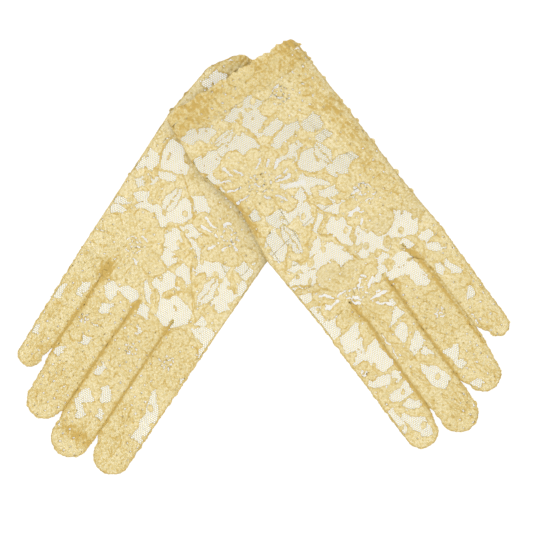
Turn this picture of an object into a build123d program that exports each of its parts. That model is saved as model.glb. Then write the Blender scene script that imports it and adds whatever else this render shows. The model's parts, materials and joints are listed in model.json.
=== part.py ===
"""A pair of short floral lace wedding gloves, laid flat with their cuffs crossed.

The right-hand glove lies on the surface. The left-hand glove lies across its cuff, and its fingers
come down to the same surface. Both lie palm down, with the thumb tucked forward under the palm.

Each glove has its own plan axes: s runs from the hem of the cuff towards the fingertips, and t runs
across the hand, from the thumb side (negative) to the little-finger side (positive). Heights are
above the surface. Every piece of lace is a thin plate, so the hollow for the hand stays open.
"""

from build123d import *
import os
from dataclasses import dataclass

# ---- driving dimensions, millimetres ----
CLOTH = 0.5  # one layer of lace with its raised threads
WALL = 0.8  # width of a sewn side seam
HAND_HOLLOW = 4.4  # height inside the hand and the cuff
FINGER_HOLLOW = 2.6  # height inside a finger
THUMB_HOLLOW = 0.4  # height inside the tucked thumb
THUMB_GAP = 0.3  # between the thumb and the palm over it
LAYER_GAP = 0.3  # between the two gloves where they cross

RUFFLE = 5.0  # length of the loose frill outside the elastic
ELASTIC = 1.5  # width of the elastic thread's row of stitches
BAND = 8.5  # length of the gathered band inside the elastic
RUFFLE_CLOTH = 1.0  # height of the frill's waves
BAND_CLOTH = 0.8  # height of the band's gathers

RAMP_TOP = 104.0  # where the hand starts to slope down to the knuckles
RAMP_FOOT = 128.0  # where it reaches the level of the fingers
JOINT_GAP = 0.15  # each side of a knuckle crease
SIDE_GAP = 0.4  # from a finger to the middle of the gap beside it

THUMB_PIVOT = (58.0, -28.0)
THUMB_TIP = (95.0, -31.0)  # centre of the rounded tip
THUMB_BASE_RADIUS = 8.5
THUMB_TIP_RADIUS = 8.0

GUSSET_LENGTH = 6.0
GUSSET_WIDTH = 2.4
REACH = 300.0  # longer than any piece, for cutting shapes
HEAD_ROOM = 40.0  # higher than any piece

# ---- heights ----
THUMB_HEIGHT = 2 * CLOTH + THUMB_HOLLOW
THUMB_ROOM = THUMB_HEIGHT + THUMB_GAP
FINGER_HEIGHT = 2 * CLOTH + FINGER_HOLLOW
CUFF_LENGTH = RUFFLE + ELASTIC + BAND
LOWER_TOP = THUMB_ROOM + CLOTH + HAND_HOLLOW + RUFFLE_CLOTH


@dataclass
class Finger:
    """One finger in plan. knuckle is its crease; low and high are its thumb and little sides there.

    low_side and high_side run from the crease to the ends of the arc that rounds the tip.
    """

    name: str
    knuckle: float
    low: float
    high: float
    low_side: list
    tip: tuple
    high_side: list


@dataclass
class Glove:
    """One glove: where it lies, its level, and its outline in plan."""

    name: str
    origin: tuple
    heading: float
    side: int
    level: float
    thumb_edge: list
    little_edge: list
    fingers: list

    @property
    def palm_level(self):
        """Underside of the palm, over the tucked thumb."""
        return self.level + THUMB_ROOM

    def place(self, shape):
        """Moves a shape from the glove's own axes to the row's."""
        return Location((*self.origin, 0), (0, 0, self.heading)) * shape

    def points(self, plan):
        """Plan points (s, t) as model points; the right-hand glove is the mirror image."""
        return [(s, self.side * t) for s, t in plan]

    def hem(self, t):
        """Where the hem lies at t: a straight line between the two corners of the cuff."""
        (s0, t0), (s1, t1) = self.thumb_edge[0], self.little_edge[0]
        return s0 + (s1 - s0) * (t - t0) / (t1 - t0)


# The lines along which neighbouring fingers lie side by side.
RIGHT_RING_LITTLE = [(188, 24.8)]
RIGHT_MIDDLE_RING = [(165, 1.4), (213, 0.9)]
RIGHT_INDEX_MIDDLE = [(213, -21.7)]
LEFT_RING_LITTLE = [(138, 20.6), (142, 24.2), (150, 25.3), (187, 25.2)]
LEFT_MIDDLE_RING = [(150, 2.6), (175, 1.2), (206, 0.7)]
LEFT_INDEX_MIDDLE = [(155, -19.2), (170, -20.8), (205, -21.2)]

RIGHT = Glove(
    name="right",
    origin=(13.8, 90.8),
    heading=-124.4,
    side=-1,
    level=0.0,
    thumb_edge=[(8, -70), (50, -52), (85, -44.5), (142, -44.4)],
    little_edge=[(0, 31), (16, 41), (47, 44.4), (135, 42.4)],
    fingers=[
        Finger(
            "index", 142, -44.4, -20.6,
            low_side=[(216, -44.8)],
            tip=(229, -34),
            high_side=[*RIGHT_INDEX_MIDDLE, (218.5, -24.8)],
        ),
        Finger(
            "middle", 143, -20.6, 0.6,
            low_side=[*RIGHT_INDEX_MIDDLE, (222, -21.4)],
            tip=(234, -11.8),
            high_side=[*RIGHT_MIDDLE_RING, (220, -0.6)],
        ),
        Finger(
            "ring", 142, 0.6, 24.5,
            low_side=[*RIGHT_MIDDLE_RING, (218, 3)],
            tip=(224.5, 11.5),
            high_side=[*RIGHT_RING_LITTLE, (197, 23.4), (215.5, 21.8)],
        ),
        Finger(
            "little", 135, 24.5, 42.4,
            low_side=[*RIGHT_RING_LITTLE, (196, 27)],
            tip=(205.3, 33.5),
            high_side=[(198, 39.2)],
        ),
    ],
)
LEFT = Glove(
    name="left",
    origin=(-17.6, 95.0),
    heading=-52.9,
    side=1,
    level=LOWER_TOP + LAYER_GAP,
    thumb_edge=[(-3.5, -40.4), (30, -44.6), (60, -38.5), (92, -43.5), (138, -41.4)],
    little_edge=[(3.5, 40.4), (98, 41), (115, 41.8), (130.5, 42.8)],
    fingers=[
        Finger(
            "index", 138, -41.4, -21.2,
            low_side=[(214.5, -41.6)],
            tip=(224.3, -33),
            high_side=[*LEFT_INDEX_MIDDLE, (215.5, -23.8)],
        ),
        Finger(
            "middle", 140, -21.2, 2.0,
            low_side=[*LEFT_INDEX_MIDDLE, (216, -20.2)],
            tip=(230, -10.5),
            high_side=[*LEFT_MIDDLE_RING, (218.5, 0)],
        ),
        Finger(
            "ring", 137, 2.0, 20.2,
            low_side=[*LEFT_MIDDLE_RING, (211, 3.6)],
            tip=(220.2, 12.5),
            high_side=[*LEFT_RING_LITTLE, (195, 24.6), (210.5, 22.2)],
        ),
        Finger(
            "little", 130.5, 20.2, 42.8,
            low_side=[*LEFT_RING_LITTLE, (194.5, 29.4)],
            tip=(200.3, 34.8),
            high_side=[(194.5, 41.4)],
        ),
    ],
)
GLOVES = [RIGHT, LEFT]


def column(plan, bottom=0.0, top=HEAD_ROOM):
    """A plan shape as a solid between two heights."""
    return extrude(Pos(0, 0, bottom) * plan, amount=top - bottom)


def height_line(hand, finger):
    """A height that is level over the hand, slopes to the knuckles, and is level at the fingers."""
    return [(-REACH, hand), (RAMP_TOP, hand), (RAMP_FOOT, finger), (REACH, finger)]


def slab(under, over):
    """All the space between two height lines."""
    outline = make_face(Polyline(*under, *reversed(over), close=True))
    return extrude(Plane.XZ * outline, amount=REACH, both=True)


def palm_slab(glove):
    return slab(
        height_line(glove.palm_level, 0),
        height_line(glove.palm_level + CLOTH, CLOTH),
    )


def hollow_slab(glove):
    floor = glove.palm_level + CLOTH
    return slab(
        height_line(floor, CLOTH),
        height_line(floor + HAND_HOLLOW, CLOTH + FINGER_HOLLOW),
    )


def back_slab(glove):
    roof = glove.palm_level + CLOTH + HAND_HOLLOW
    return slab(
        height_line(roof, CLOTH + FINGER_HOLLOW),
        height_line(roof + CLOTH, FINGER_HEIGHT),
    )


def hand_plan(glove):
    """The hand from the hem to the knuckles, whose front edge steps from finger to finger."""
    front = []
    for finger in glove.fingers:
        front.append((finger.knuckle - JOINT_GAP, finger.low))
        front.append((finger.knuckle - JOINT_GAP, finger.high))
    plan = glove.thumb_edge[:-1] + front + glove.little_edge[-2::-1]
    return make_face(Polyline(*glove.points(plan), close=True))


def behind_hem(glove, start, end):
    """The strip across the glove from start to end, measured from the hem."""
    low = glove.hem(-REACH)
    high = glove.hem(REACH)
    plan = [(low + start, -REACH), (low + end, -REACH), (high + end, REACH), (high + start, REACH)]
    return make_face(Polyline(*glove.points(plan), close=True))


def edge_plan(glove, edge, front, inward):
    """A side seam in plan: the strip just inside one edge of the hand."""
    outer = edge[:-1] + [(front, edge[-1][1])]
    inner = [(s, t + inward * WALL) for s, t in outer]
    strip = make_face(Polyline(*glove.points(outer + inner[::-1]), close=True))
    return strip & hand_plan(glove)


def hand_pieces(glove):
    """The back and palm panels, the two side seams and the gussets between the fingers."""
    panel = hand_plan(glove) & behind_hem(glove, CUFF_LENGTH, REACH)
    thumb_front = glove.fingers[0].knuckle - JOINT_GAP
    little_front = glove.fingers[-1].knuckle - JOINT_GAP
    thumb_seam = edge_plan(glove, glove.thumb_edge, thumb_front, 1)
    little_seam = edge_plan(glove, glove.little_edge, little_front, -1)
    hollow = hollow_slab(glove)
    pieces = {
        "back_panel": column(panel) & back_slab(glove),
        "palm_panel": column(panel) & palm_slab(glove),
        "thumb_side_seam": column(thumb_seam) & hollow,
        "little_side_seam": column(little_seam) & hollow,
    }
    for first, second in zip(glove.fingers, glove.fingers[1:]):
        s = min(first.knuckle, second.knuckle) - JOINT_GAP - GUSSET_LENGTH / 2
        centre = glove.points([(s, second.low)])[0]
        lens = Pos(*centre) * Ellipse(GUSSET_LENGTH / 2, GUSSET_WIDTH / 2)
        pieces[f"{first.name}_{second.name}_gusset"] = column(lens) & hollow
    return pieces


def cuff_pieces(glove):
    """The gathered band, the elastic and the frill, each round the whole mouth of the glove."""
    hand = hand_plan(glove)
    floor = glove.palm_level + CLOTH
    roof = floor + HAND_HOLLOW
    ruffle = hand & behind_hem(glove, 0, RUFFLE)
    elastic = hand & behind_hem(glove, RUFFLE, RUFFLE + ELASTIC)
    band = hand & behind_hem(glove, RUFFLE + ELASTIC, CUFF_LENGTH)
    return {
        "ruffle_back": column(ruffle, roof, roof + RUFFLE_CLOTH),
        "ruffle_palm": column(ruffle, glove.level, floor),
        "elastic_back": column(elastic, roof, roof + CLOTH),
        "elastic_palm": column(elastic, floor - CLOTH, floor),
        "band_back": column(band, roof, roof + BAND_CLOTH),
        "band_palm": column(band, glove.level, floor),
    }


def tube_pieces(plan, mouth, name, bottom, hollow):
    """A flat sewn tube: a palm half, a back half, and the strip sewn in round its sides and tip."""
    inside = offset(plan, amount=-WALL) + mouth
    floor = bottom + CLOTH
    roof = floor + hollow
    return {
        f"{name}_palm": column(plan, bottom, floor),
        f"{name}_side_strip": column(plan - inside, floor, roof),
        f"{name}_back": column(plan, roof, roof + CLOTH),
    }


def finger_pieces(glove, finger):
    """One finger, lying on the surface, open towards the hand."""
    base = finger.knuckle + JOINT_GAP
    low = finger.low + SIDE_GAP
    high = finger.high - SIDE_GAP
    low_side = [(s, t + SIDE_GAP) for s, t in [(base, finger.low), *finger.low_side]]
    high_side = [(s, t - SIDE_GAP) for s, t in [(base, finger.high), *finger.high_side]]
    sides = glove.points(high_side[::-1] + low_side)
    tip = glove.points([finger.tip])[0]
    plan = make_face(Polyline(*sides) + ThreePointArc(sides[-1], tip, sides[0]))
    middle = glove.points([(base, (low + high) / 2)])[0]
    mouth = Pos(*middle) * Rectangle(2.5 * WALL, high - low - 2 * WALL)
    return tube_pieces(plan, mouth, finger.name, 0, FINGER_HOLLOW)


def thumb_pieces(glove):
    """The thumb, tucked flat under the palm and pointing towards the index finger."""
    pivot, tip = glove.points([THUMB_PIVOT, THUMB_TIP])
    base_end = Pos(*pivot) * Circle(THUMB_BASE_RADIUS)
    tip_end = Pos(*tip) * Circle(THUMB_TIP_RADIUS)
    plan = make_hull([*base_end.edges(), *tip_end.edges()])
    mouth = Pos(pivot[0] - THUMB_BASE_RADIUS, pivot[1]) * Rectangle(
        THUMB_BASE_RADIUS, THUMB_BASE_RADIUS
    )
    return tube_pieces(plan, mouth, "thumb", glove.level, THUMB_HOLLOW)


def glove_pieces(glove):
    pieces = {**hand_pieces(glove), **cuff_pieces(glove), **thumb_pieces(glove)}
    for finger in glove.fingers:
        pieces.update(finger_pieces(glove, finger))
    return {f"{glove.name}_{name}": glove.place(shape) for name, shape in pieces.items()}


def build():
    """Every piece of both gloves, with the origin under the middle of the pair."""
    pieces = {}
    for glove in GLOVES:
        pieces.update(glove_pieces(glove))
    middle = Compound(children=[Part(shape.wrapped) for shape in pieces.values()])
    middle = middle.bounding_box().center()
    shift = Pos(-middle.X, -middle.Y, 0)
    return {name: shift * shape for name, shape in pieces.items()}, (-middle.X, -middle.Y)


PIECES, SHIFT = build()
os.makedirs("parts", exist_ok=True)
for name, shape in PIECES.items():
    export_step(shape, f"parts/{name}.step")
print(len(PIECES), "pieces; moved by", [round(v, 3) for v in SHIFT])
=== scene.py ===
"""The looks of a pair of floral lace gloves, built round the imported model.

Each glove is described in its own plan axes, in millimetres: s runs from the hem of the cuff to the
fingertips, and t runs across the hand from the thumb side (negative) to the little-finger side.
The lace is a plan pattern of windows of fine net between solid flowers, leaves and stems. Every
panel is cut out of that pattern as real cloth: solid motifs with a thickness, and threads between.
"""

import json
import math
from dataclasses import dataclass, field
from functools import partial

import bpy
import numpy as np
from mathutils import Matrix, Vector


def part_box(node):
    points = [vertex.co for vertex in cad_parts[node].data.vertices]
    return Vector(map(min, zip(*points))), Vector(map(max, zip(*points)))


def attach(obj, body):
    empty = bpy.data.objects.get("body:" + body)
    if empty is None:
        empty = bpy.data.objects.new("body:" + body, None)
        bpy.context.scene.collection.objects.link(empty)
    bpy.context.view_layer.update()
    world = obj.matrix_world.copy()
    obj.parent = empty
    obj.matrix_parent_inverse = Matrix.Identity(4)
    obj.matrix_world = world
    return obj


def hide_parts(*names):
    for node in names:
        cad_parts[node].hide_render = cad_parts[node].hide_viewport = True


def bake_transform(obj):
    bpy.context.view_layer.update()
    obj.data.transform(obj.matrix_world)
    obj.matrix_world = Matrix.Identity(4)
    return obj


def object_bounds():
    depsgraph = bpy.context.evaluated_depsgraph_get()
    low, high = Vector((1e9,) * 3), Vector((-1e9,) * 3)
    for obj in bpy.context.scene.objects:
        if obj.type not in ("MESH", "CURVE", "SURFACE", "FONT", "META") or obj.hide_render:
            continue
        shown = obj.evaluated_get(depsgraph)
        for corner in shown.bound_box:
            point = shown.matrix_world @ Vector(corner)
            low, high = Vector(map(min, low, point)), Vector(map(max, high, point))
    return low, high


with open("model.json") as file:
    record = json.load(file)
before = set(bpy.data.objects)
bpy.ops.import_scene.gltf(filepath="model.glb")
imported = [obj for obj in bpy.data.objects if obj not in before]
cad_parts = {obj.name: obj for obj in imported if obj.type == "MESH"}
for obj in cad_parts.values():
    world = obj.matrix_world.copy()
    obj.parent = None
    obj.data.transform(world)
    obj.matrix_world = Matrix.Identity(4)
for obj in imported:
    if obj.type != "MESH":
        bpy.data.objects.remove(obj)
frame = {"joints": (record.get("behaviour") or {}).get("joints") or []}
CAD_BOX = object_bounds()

MM = 0.001

# ---- sizes repeated from the part, millimetres ----
CLOTH = 0.5
HAND_HOLLOW = 4.4
FINGER_HOLLOW = 2.6
THUMB_HOLLOW = 0.4
THUMB_ROOM = 1.7
RUFFLE = 5.0
ELASTIC = 1.5
CUFF_LENGTH = 15.0
RAMP_TOP = 104.0
RAMP_FOOT = 128.0
THUMB_PIVOT = (58.0, -28.0)
THUMB_TIP = (95.0, -31.0)
THUMB_BASE_RADIUS = 8.5
THUMB_TIP_RADIUS = 8.0

# ---- lace ----
HAND_STEP = 0.54  # spacing of the points that the back of a hand is made from
FINGER_STEP = 0.42  # the same for the back of a finger
PALM_STEP = 0.62  # the same for the palm side
THICKNESS = 0.32  # solid lace
RELIEF = 0.16  # how far the outline cords stand above it
NET_PITCH = 1.12  # from one cell of the net to the next
NET_THREAD = 0.135  # half the width of a net thread
LEAF_THREAD = 0.14  # the same inside an outlined leaf
SLIT_THREAD = 0.05  # the same in a slit or a pinhole
PALM_THREAD = 0.6  # how fine the palm's net is, beside the back's
THREAD_SECTION = ((-1.0, -0.45), (1.0, -0.45), (0.0, 0.8))  # a thread's corners, in its radius
NET_TONE = -1.0  # marks the net's threads, which have a colour of their own
SELVAGE = 0.55  # solid border along a seam
CORNER = 0.85  # rounding of a window's corners
PIERCING = 0.95  # width of the small holes in the middle of a flower
REACH = 3.0  # how far from a shape its distance matters
COVER_EDGE = 1.0  # how deep under the upper glove the lower one starts to follow its lace
COVERED_SHRINK = 0.3  # how much smaller the solid lace is there
COVERED_THREAD = 0.35  # how fine the net is there, beside the rest
COVERED_CORD = 0.3  # how thin the cords are there
FRAY = 0.22  # how uneven the edges of the solid lace are
MARGIN = 2.5  # how far past its outline a panel's grid reaches
FINGER_DARK = 0.07  # added to the tone of the fingers
CUFF_DARK = 0.12  # added to the tone of the cuff

# ---- cords, as half their width and half their height ----
SEAM_CORD = (0.5, 0.55)
GUSSET_CORD = (0.5, 0.6)
STRIP_CORD = (0.42, 0.7)
THUMB_CORD = (0.2, 0.4)
ELASTIC_CORD = (0.13, 0.13)
CORD_STEP = 0.7  # from one ring of a cord's points to the next

CORNER_ROUNDING = 5.0  # of the cuff's two corners in plan
HAND_ROUNDING = 7.0  # how far in from a side seam the hand is still curving
FINGER_ROUNDING = 4.5
SAG = 1.6  # how far the sides of the hand droop
GATHER = 3.1  # width of one gather of the cuff
UNEVEN_REACH = 0.8  # below 1, the hand's unevenness runs on past its knuckles


def smooth(x):
    """0 below 0, 1 above 1, and an easy curve between."""
    x = np.clip(x, 0.0, 1.0)
    return x * x * (3.0 - 2.0 * x)


def ripple(x, seed):
    """A soft irregular wave between about -1 and 1, the same for the same seed."""
    return (
        0.5 * np.sin(x + 1.7 * seed)
        + 0.3 * np.sin(1.83 * x + 2.9 * seed)
        + 0.2 * np.sin(3.11 * x + 0.6 * seed)
    )


def waver(s, t, size, seed):
    """A smooth irregular field between about -1 and 1, whose bumps are of that size."""
    total = np.zeros(np.shape(s))
    for k in range(5):
        heading = 2.4 * k + seed
        along = s * math.cos(heading) + t * math.sin(heading)
        total = total + np.sin(math.tau * along / (size * (0.75 + 0.13 * k)) + 3.1 * k * seed)
    return total / 2.6


def line_distance(s, t, points):
    """Distance from each (s, t) to an open line through the points."""
    best = np.full(np.shape(s), np.inf)
    for (a, b), (c, d) in zip(points, points[1:]):
        u, v = c - a, d - b
        h = np.clip(((s - a) * u + (t - b) * v) / (u * u + v * v), 0, 1)
        best = np.minimum(best, np.hypot(s - a - h * u, t - b - h * v))
    return best


def depth_in(s, t, points):
    """How deep each (s, t) lies inside a closed outline; negative outside."""
    closed = list(points) + [points[0]]
    within = np.zeros(np.shape(s), bool)
    for (a, b), (c, d) in zip(closed, closed[1:]):
        if b != d:
            crosses = ((t < b) != (t < d)) & (s < (c - a) * (t - b) / (d - b) + a)
            within ^= crosses
    return np.where(within, 1.0, -1.0) * line_distance(s, t, closed)


def depth_in_drop(s, t, start, end, start_radius, end_radius):
    """How deep each (s, t) lies inside a drop: a bar whose two round ends differ."""
    (a, b), (c, d) = start, end
    u, v = c - a, d - b
    h = np.clip(((s - a) * u + (t - b) * v) / (u * u + v * v), 0, 1)
    radius = start_radius + (end_radius - start_radius) * h
    return radius - np.hypot(s - a - h * u, t - b - h * v)


def depth_in_leaf(s, t, base, tip, width):
    """How deep each (s, t) lies inside a pointed leaf between two points."""
    (a, b), (c, d) = base, tip
    half = math.hypot(c - a, d - b) / 2
    u, v = (c - a) / (2 * half), (d - b) / (2 * half)
    along = (s - (a + c) / 2) * u + (t - (b + d) / 2) * v
    across = np.abs((t - (b + d) / 2) * u - (s - (a + c) / 2) * v)
    bulge = width / 2
    radius = (half * half + bulge * bulge) / (2 * bulge)
    return radius - np.hypot(along, across + radius - bulge)


# ---- motifs, each with the box that it can reach ----
@dataclass
class Motif:
    """One element of the lace. kind is window, petal, leaf, net_leaf, stem, slit or fold, a line of painted
    shade.
    """

    kind: str
    points: list
    width: float = 0.0

    def near(self, s, t):
        """Which of the points lie close enough for the motif to matter."""
        room = REACH + self.width
        low_s, low_t = np.min(self.points, axis=0) - room
        high_s, high_t = np.max(self.points, axis=0) + room
        return np.nonzero((s > low_s) & (s < high_s) & (t > low_t) & (t < high_t))[0]


def windows(*outlines):
    return [Motif("window", list(o)) for o in outlines]


def bars(kind, width, *ends):
    """Motifs of one kind and width, each between two points given as s, t, s, t."""
    return [Motif(kind, [(a, b), (c, d)], width) for a, b, c, d in ends]


slits = partial(bars, "slit")
fold_shades = partial(bars, "fold")
leaves = partial(bars, "leaf")
net_leaves = partial(bars, "net_leaf")


def stems(width, *lines):
    return [Motif("stem", list(line), width) for line in lines]


def flower(centre, eye, *petals):
    """A flower: petals as (tip s, tip t, width), round a pierced eye of that radius."""
    made = [Motif("petal", [centre, (s, t)], w) for s, t, w in petals]
    return made + piercings(centre, eye)


def piercings(centre, radius):
    """The small irregular holes in the middle of a flower, in two rings."""
    holes = []
    for count, share in ((max(3, round(radius)), 0.36), (round(2.1 * radius), 0.8)):
        for k in range(count):
            angle = math.tau * (k + 0.25 * math.sin(5.0 * k)) / count
            reach = radius * share * (1.0 + 0.14 * math.sin(7.0 * k))
            s, t = centre[0] + reach * math.cos(angle), centre[1] + reach * math.sin(angle)
            heading = angle + 1.2 + 0.9 * math.sin(3.0 * k + radius)
            half = 0.6 + 0.25 * math.sin(4.0 * k)
            u, v = half * math.cos(heading), half * math.sin(heading)
            holes.append(Motif("slit", [(s - u, t - v), (s + u, t + v)], PIERCING))
    return holes


@dataclass
class Finger:
    """One finger in plan, as in the part: its sides run from the knuckle to the rounded tip."""

    name: str
    knuckle: float
    low: float
    high: float
    low_side: list
    tip: tuple
    high_side: list

    def outline(self):
        """The finger in plan, from the knuckle round the tip and back."""
        tip = arc(self.low_side[-1], self.tip, self.high_side[-1])
        low = [(self.knuckle, self.low), *self.low_side[:-1]]
        high = [(self.knuckle, self.high), *self.high_side[:-1]]
        return low + tip + high[::-1]


def arc(start, through, end, count=14):
    """Points on the arc from start through a middle point to end."""
    (ax, ay), (bx, by), (cx, cy) = start, through, end
    d = 2 * (ax * (by - cy) + bx * (cy - ay) + cx * (ay - by))
    a2, b2, c2 = ax * ax + ay * ay, bx * bx + by * by, cx * cx + cy * cy
    x = (a2 * (by - cy) + b2 * (cy - ay) + c2 * (ay - by)) / d
    y = (a2 * (cx - bx) + b2 * (ax - cx) + c2 * (bx - ax)) / d
    radius = math.hypot(ax - x, ay - y)
    first = math.atan2(ay - y, ax - x)
    turn = (math.atan2(cy - y, cx - x) - first) % math.tau
    middle = (math.atan2(by - y, bx - x) - first) % math.tau
    if middle > turn:
        turn -= math.tau
    angles = [first + turn * k / count for k in range(count + 1)]
    return [(x + radius * math.cos(a), y + radius * math.sin(a)) for a in angles]


@dataclass
class Glove:
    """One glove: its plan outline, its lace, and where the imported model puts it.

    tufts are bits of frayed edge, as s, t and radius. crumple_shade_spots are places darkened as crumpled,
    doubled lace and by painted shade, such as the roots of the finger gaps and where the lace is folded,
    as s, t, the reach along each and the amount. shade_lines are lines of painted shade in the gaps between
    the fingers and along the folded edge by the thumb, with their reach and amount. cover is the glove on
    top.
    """

    name: str
    side: int
    thumb_edge: list
    little_edge: list
    fingers: list
    motifs: list
    tufts: list = field(default_factory=list)
    crumple_shade_spots: list = field(default_factory=list)
    shade_lines: list = field(default_factory=list)
    cover: object = None

    def __post_init__(self):
        joint = next(j for j in frame["joints"] if j["name"] == f"{self.name}_index_fold")
        axis = np.array(joint["axis"][:2])
        self.across = -self.side * axis
        self.along = np.array([-axis[1], axis[0]])
        index = self.fingers[0]
        middle = (index.low + index.high) / 2
        knuckle = np.array(joint["pos_m"][:2]) / MM
        self.origin = knuckle - self.along * index.knuckle - self.across * middle
        self.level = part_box(f"{self.name}_thumb_palm")[0].z / MM
        self.thumb_side = self.thumb_edge + index.low_side
        self.little_side = self.little_edge + self.fingers[-1].high_side

    def place(self, s, t, z):
        """Plan points and heights in millimetres as model points in metres."""
        xy = self.origin + np.outer(s, self.along) + np.outer(t, self.across)
        return np.column_stack([xy, z]) * MM

    def plan_of(self, other, s, t):
        """The other glove's plan points as this glove's own."""
        xy = other.origin + np.outer(s, other.along) + np.outer(t, other.across) - self.origin
        return xy @ self.along, xy @ self.across

    def hem(self, t):
        """Where the cuff ends, across the glove."""
        (s0, t0), (s1, t1) = self.thumb_edge[0], self.little_edge[0]
        return s0 + (s1 - s0) * (t - t0) / (t1 - t0)

    def hand_outline(self):
        """The hand and cuff in plan, up to the knuckles."""
        front = []
        for finger in self.fingers:
            front += [(finger.knuckle, finger.low), (finger.knuckle, finger.high)]
        return self.thumb_edge[:-1] + front + self.little_edge[-2::-1]

    def crumple_and_shade(self, s, t):
        """How much each point lies in a crumpled place or a spot of painted shade, from 0 to about 1."""
        total = np.zeros(np.shape(s))
        for a, b, reach_s, reach_t, amount in self.crumple_shade_spots:
            far = ((s - a) / reach_s) ** 2 + ((t - b) / reach_t) ** 2
            total = total + amount * np.exp(-far)
        return total

    def in_hand(self, s, t):
        """Depth inside the hand and cuff, whose edge is ragged where it is crumpled."""
        ragged = 0.2 + 0.9 * np.clip(self.crumple_and_shade(s, t), 0.0, 1.0)
        depth = depth_in(s, t, self.hand_outline()) + ragged * (0.5 + waver(s, t, 5.5, 13))
        for a, b, radius in self.tufts:
            depth = np.maximum(depth, radius - np.hypot(s - a, t - b))
        return depth

    def side_depth(self, s, t):
        """Distance to the nearer outer side of the glove."""
        low = line_distance(s, t, self.thumb_side)
        return np.minimum(low, line_distance(s, t, self.little_side))


def pattern(glove, s, t):
    """The lace at each plan point: depth inside solid lace, tone, and the net thread's radius.

    Under the other glove the lower one takes the upper one's motifs, so their windows line up.
    """
    s, t = np.ravel(s), np.ravel(t)
    own = draw(glove, s, t)
    if glove.cover is None:
        return own
    solid, tone, thread = draw(glove.cover, *glove.cover.plan_of(glove, s, t))
    over = solid - COVERED_SHRINK, tone, COVERED_THREAD * thread
    hidden = covered(glove, s, t)
    return [np.where(hidden, o, m) for o, m in zip(over, own)]


def draw(glove, s, t):
    """Draws a glove's motifs in their order: windows, then what lies on them, then holes."""
    solid = np.full(s.shape, REACH)
    tone = figures(s, t)
    thread = np.full(s.shape, NET_THREAD)
    drawn_s, drawn_t = wobbled(s, t)
    for motif in glove.motifs:
        near = motif.near(drawn_s, drawn_t)
        if len(near):
            lace = solid[near], tone[near], thread[near]
            lace = DRAWERS[motif.kind](motif, drawn_s[near], drawn_t[near], *lace)
            solid[near], tone[near], thread[near] = lace
    solid, thread = specks(s, t, solid, thread)
    solid = solid + FRAY * waver(s, t, 1.7, 5)
    return solid, uneven_shaded_tone(glove, s, t, solid, tone), thread


def wobbled(s, t):
    """The plan points moved about a little, so that no drawn line stays straight."""
    moved_s = s + 0.6 * waver(s, t, 9.0, 1) + 0.25 * waver(s, t, 3.0, 2)
    moved_t = t + 0.6 * waver(s, t, 9.0, 3) + 0.25 * waver(s, t, 3.0, 4)
    return moved_s, moved_t


def uneven_shaded_tone(glove, s, t, solid, tone):
    """The tone with darker edges round the windows and unevenness, and painted shade at crumples, finger
    roots and shade lines.
    """
    edge = smooth(1.0 - solid / 0.9) * (solid > -0.5)
    tone = np.maximum(tone, 0.45 * edge)
    tone = tone * (0.8 + 0.3 * waver(s, t, 5.0, 6)) + 0.13 * waver(s, t, 2.0, 7)
    crumple = waver(0.45 * s, t, 3.2, 8) + 0.6 * waver(0.7 * s, t, 1.9, 14)
    # Crumpled places are darker as doubled lace and by painted shade; the spots at the roots of the finger
    # gaps and where the lace is folded are painted shade only.
    tone = tone + glove.crumple_and_shade(s, t) * (0.75 + 0.6 * crumple)
    # Painted shade along lines: in the gaps between the fingers and along the folded edge by the thumb.
    for line, reach, amount in glove.shade_lines:
        far = line_distance(s, t, line) / (reach * (1.0 + 0.25 * waver(s, t, 6.0, 9)))
        core = 0.65 * np.exp(-((2.4 * far) ** 2)) + 0.35 * np.exp(-(far ** 2))
        tone = tone + amount * core * (0.9 + 0.3 * waver(s, t, 4.0, 10))
    return tone


def figures(s, t):
    """The tone of the ground: small curling outlines, darker on the line and paler beside it."""
    tone = np.zeros(s.shape)
    patch = smooth(0.75 + waver(s, t, 16.0, 23))
    for size, seed, amount in ((9.0, 21, 0.5), (5.5, 22, 0.4)):
        field = waver(s, t, size, seed)
        tone = np.maximum(tone, amount * patch * np.exp(-((field / 0.2) ** 2)))
        tone = tone - 0.3 * patch * np.exp(-(((field - 0.5) / 0.22) ** 2)) * (tone < 0.4)
    return tone


def specks(s, t, solid, thread):
    """Islands in the windows, and pinholes in the solid lace."""
    island = 2.2 * (waver(s, t, 8.0, 26) - 0.95)
    solid = np.where(solid < 0, np.maximum(solid, island), solid)
    pinhole = np.maximum(1.25 - waver(s, t, 3.6, 24) - 0.35 * waver(s, t, 1.6, 25), -0.6)
    thread = np.where((solid > 0) & (pinhole < 0.3), SLIT_THREAD, thread)
    return np.minimum(solid, pinhole), thread


def cord(depth, width=0.7):
    """The raised cord just inside an outline: 1 on it, 0 away from it."""
    return np.clip(1.0 - np.abs(depth - width / 2) / (width / 2), 0.0, 1.0)


# Each of these draws one motif over the lace so far and gives back the lace after it: depth inside
# solid lace, tone, and the net thread's radius.
def draw_window(motif, s, t, solid, tone, thread):
    solid = np.minimum(solid, -depth_in(s, t, motif.points) - CORNER)
    return solid, np.where(solid < 0, 0.0, tone), thread


def draw_petal(motif, s, t, solid, tone, thread):
    depth, outward, aside = petal_depth(s, t, *motif.points, motif.width)
    tone = np.where(depth > 0.6, tone * 0.3 + 0.08, tone)
    tone = np.maximum(tone, 0.85 * cord(depth, 0.9) * smooth((outward - 0.3) / 0.3))
    veins = np.exp(-((np.abs(aside) - 0.42) / 0.1) ** 2) + np.exp(-((aside / 0.09) ** 2))
    fade = smooth((outward - 0.3) / 0.12) * smooth((0.82 - outward) / 0.2)
    tone = np.maximum(tone, 0.4 * veins * fade * (depth > 0))
    return np.maximum(solid, depth), tone, thread


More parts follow.
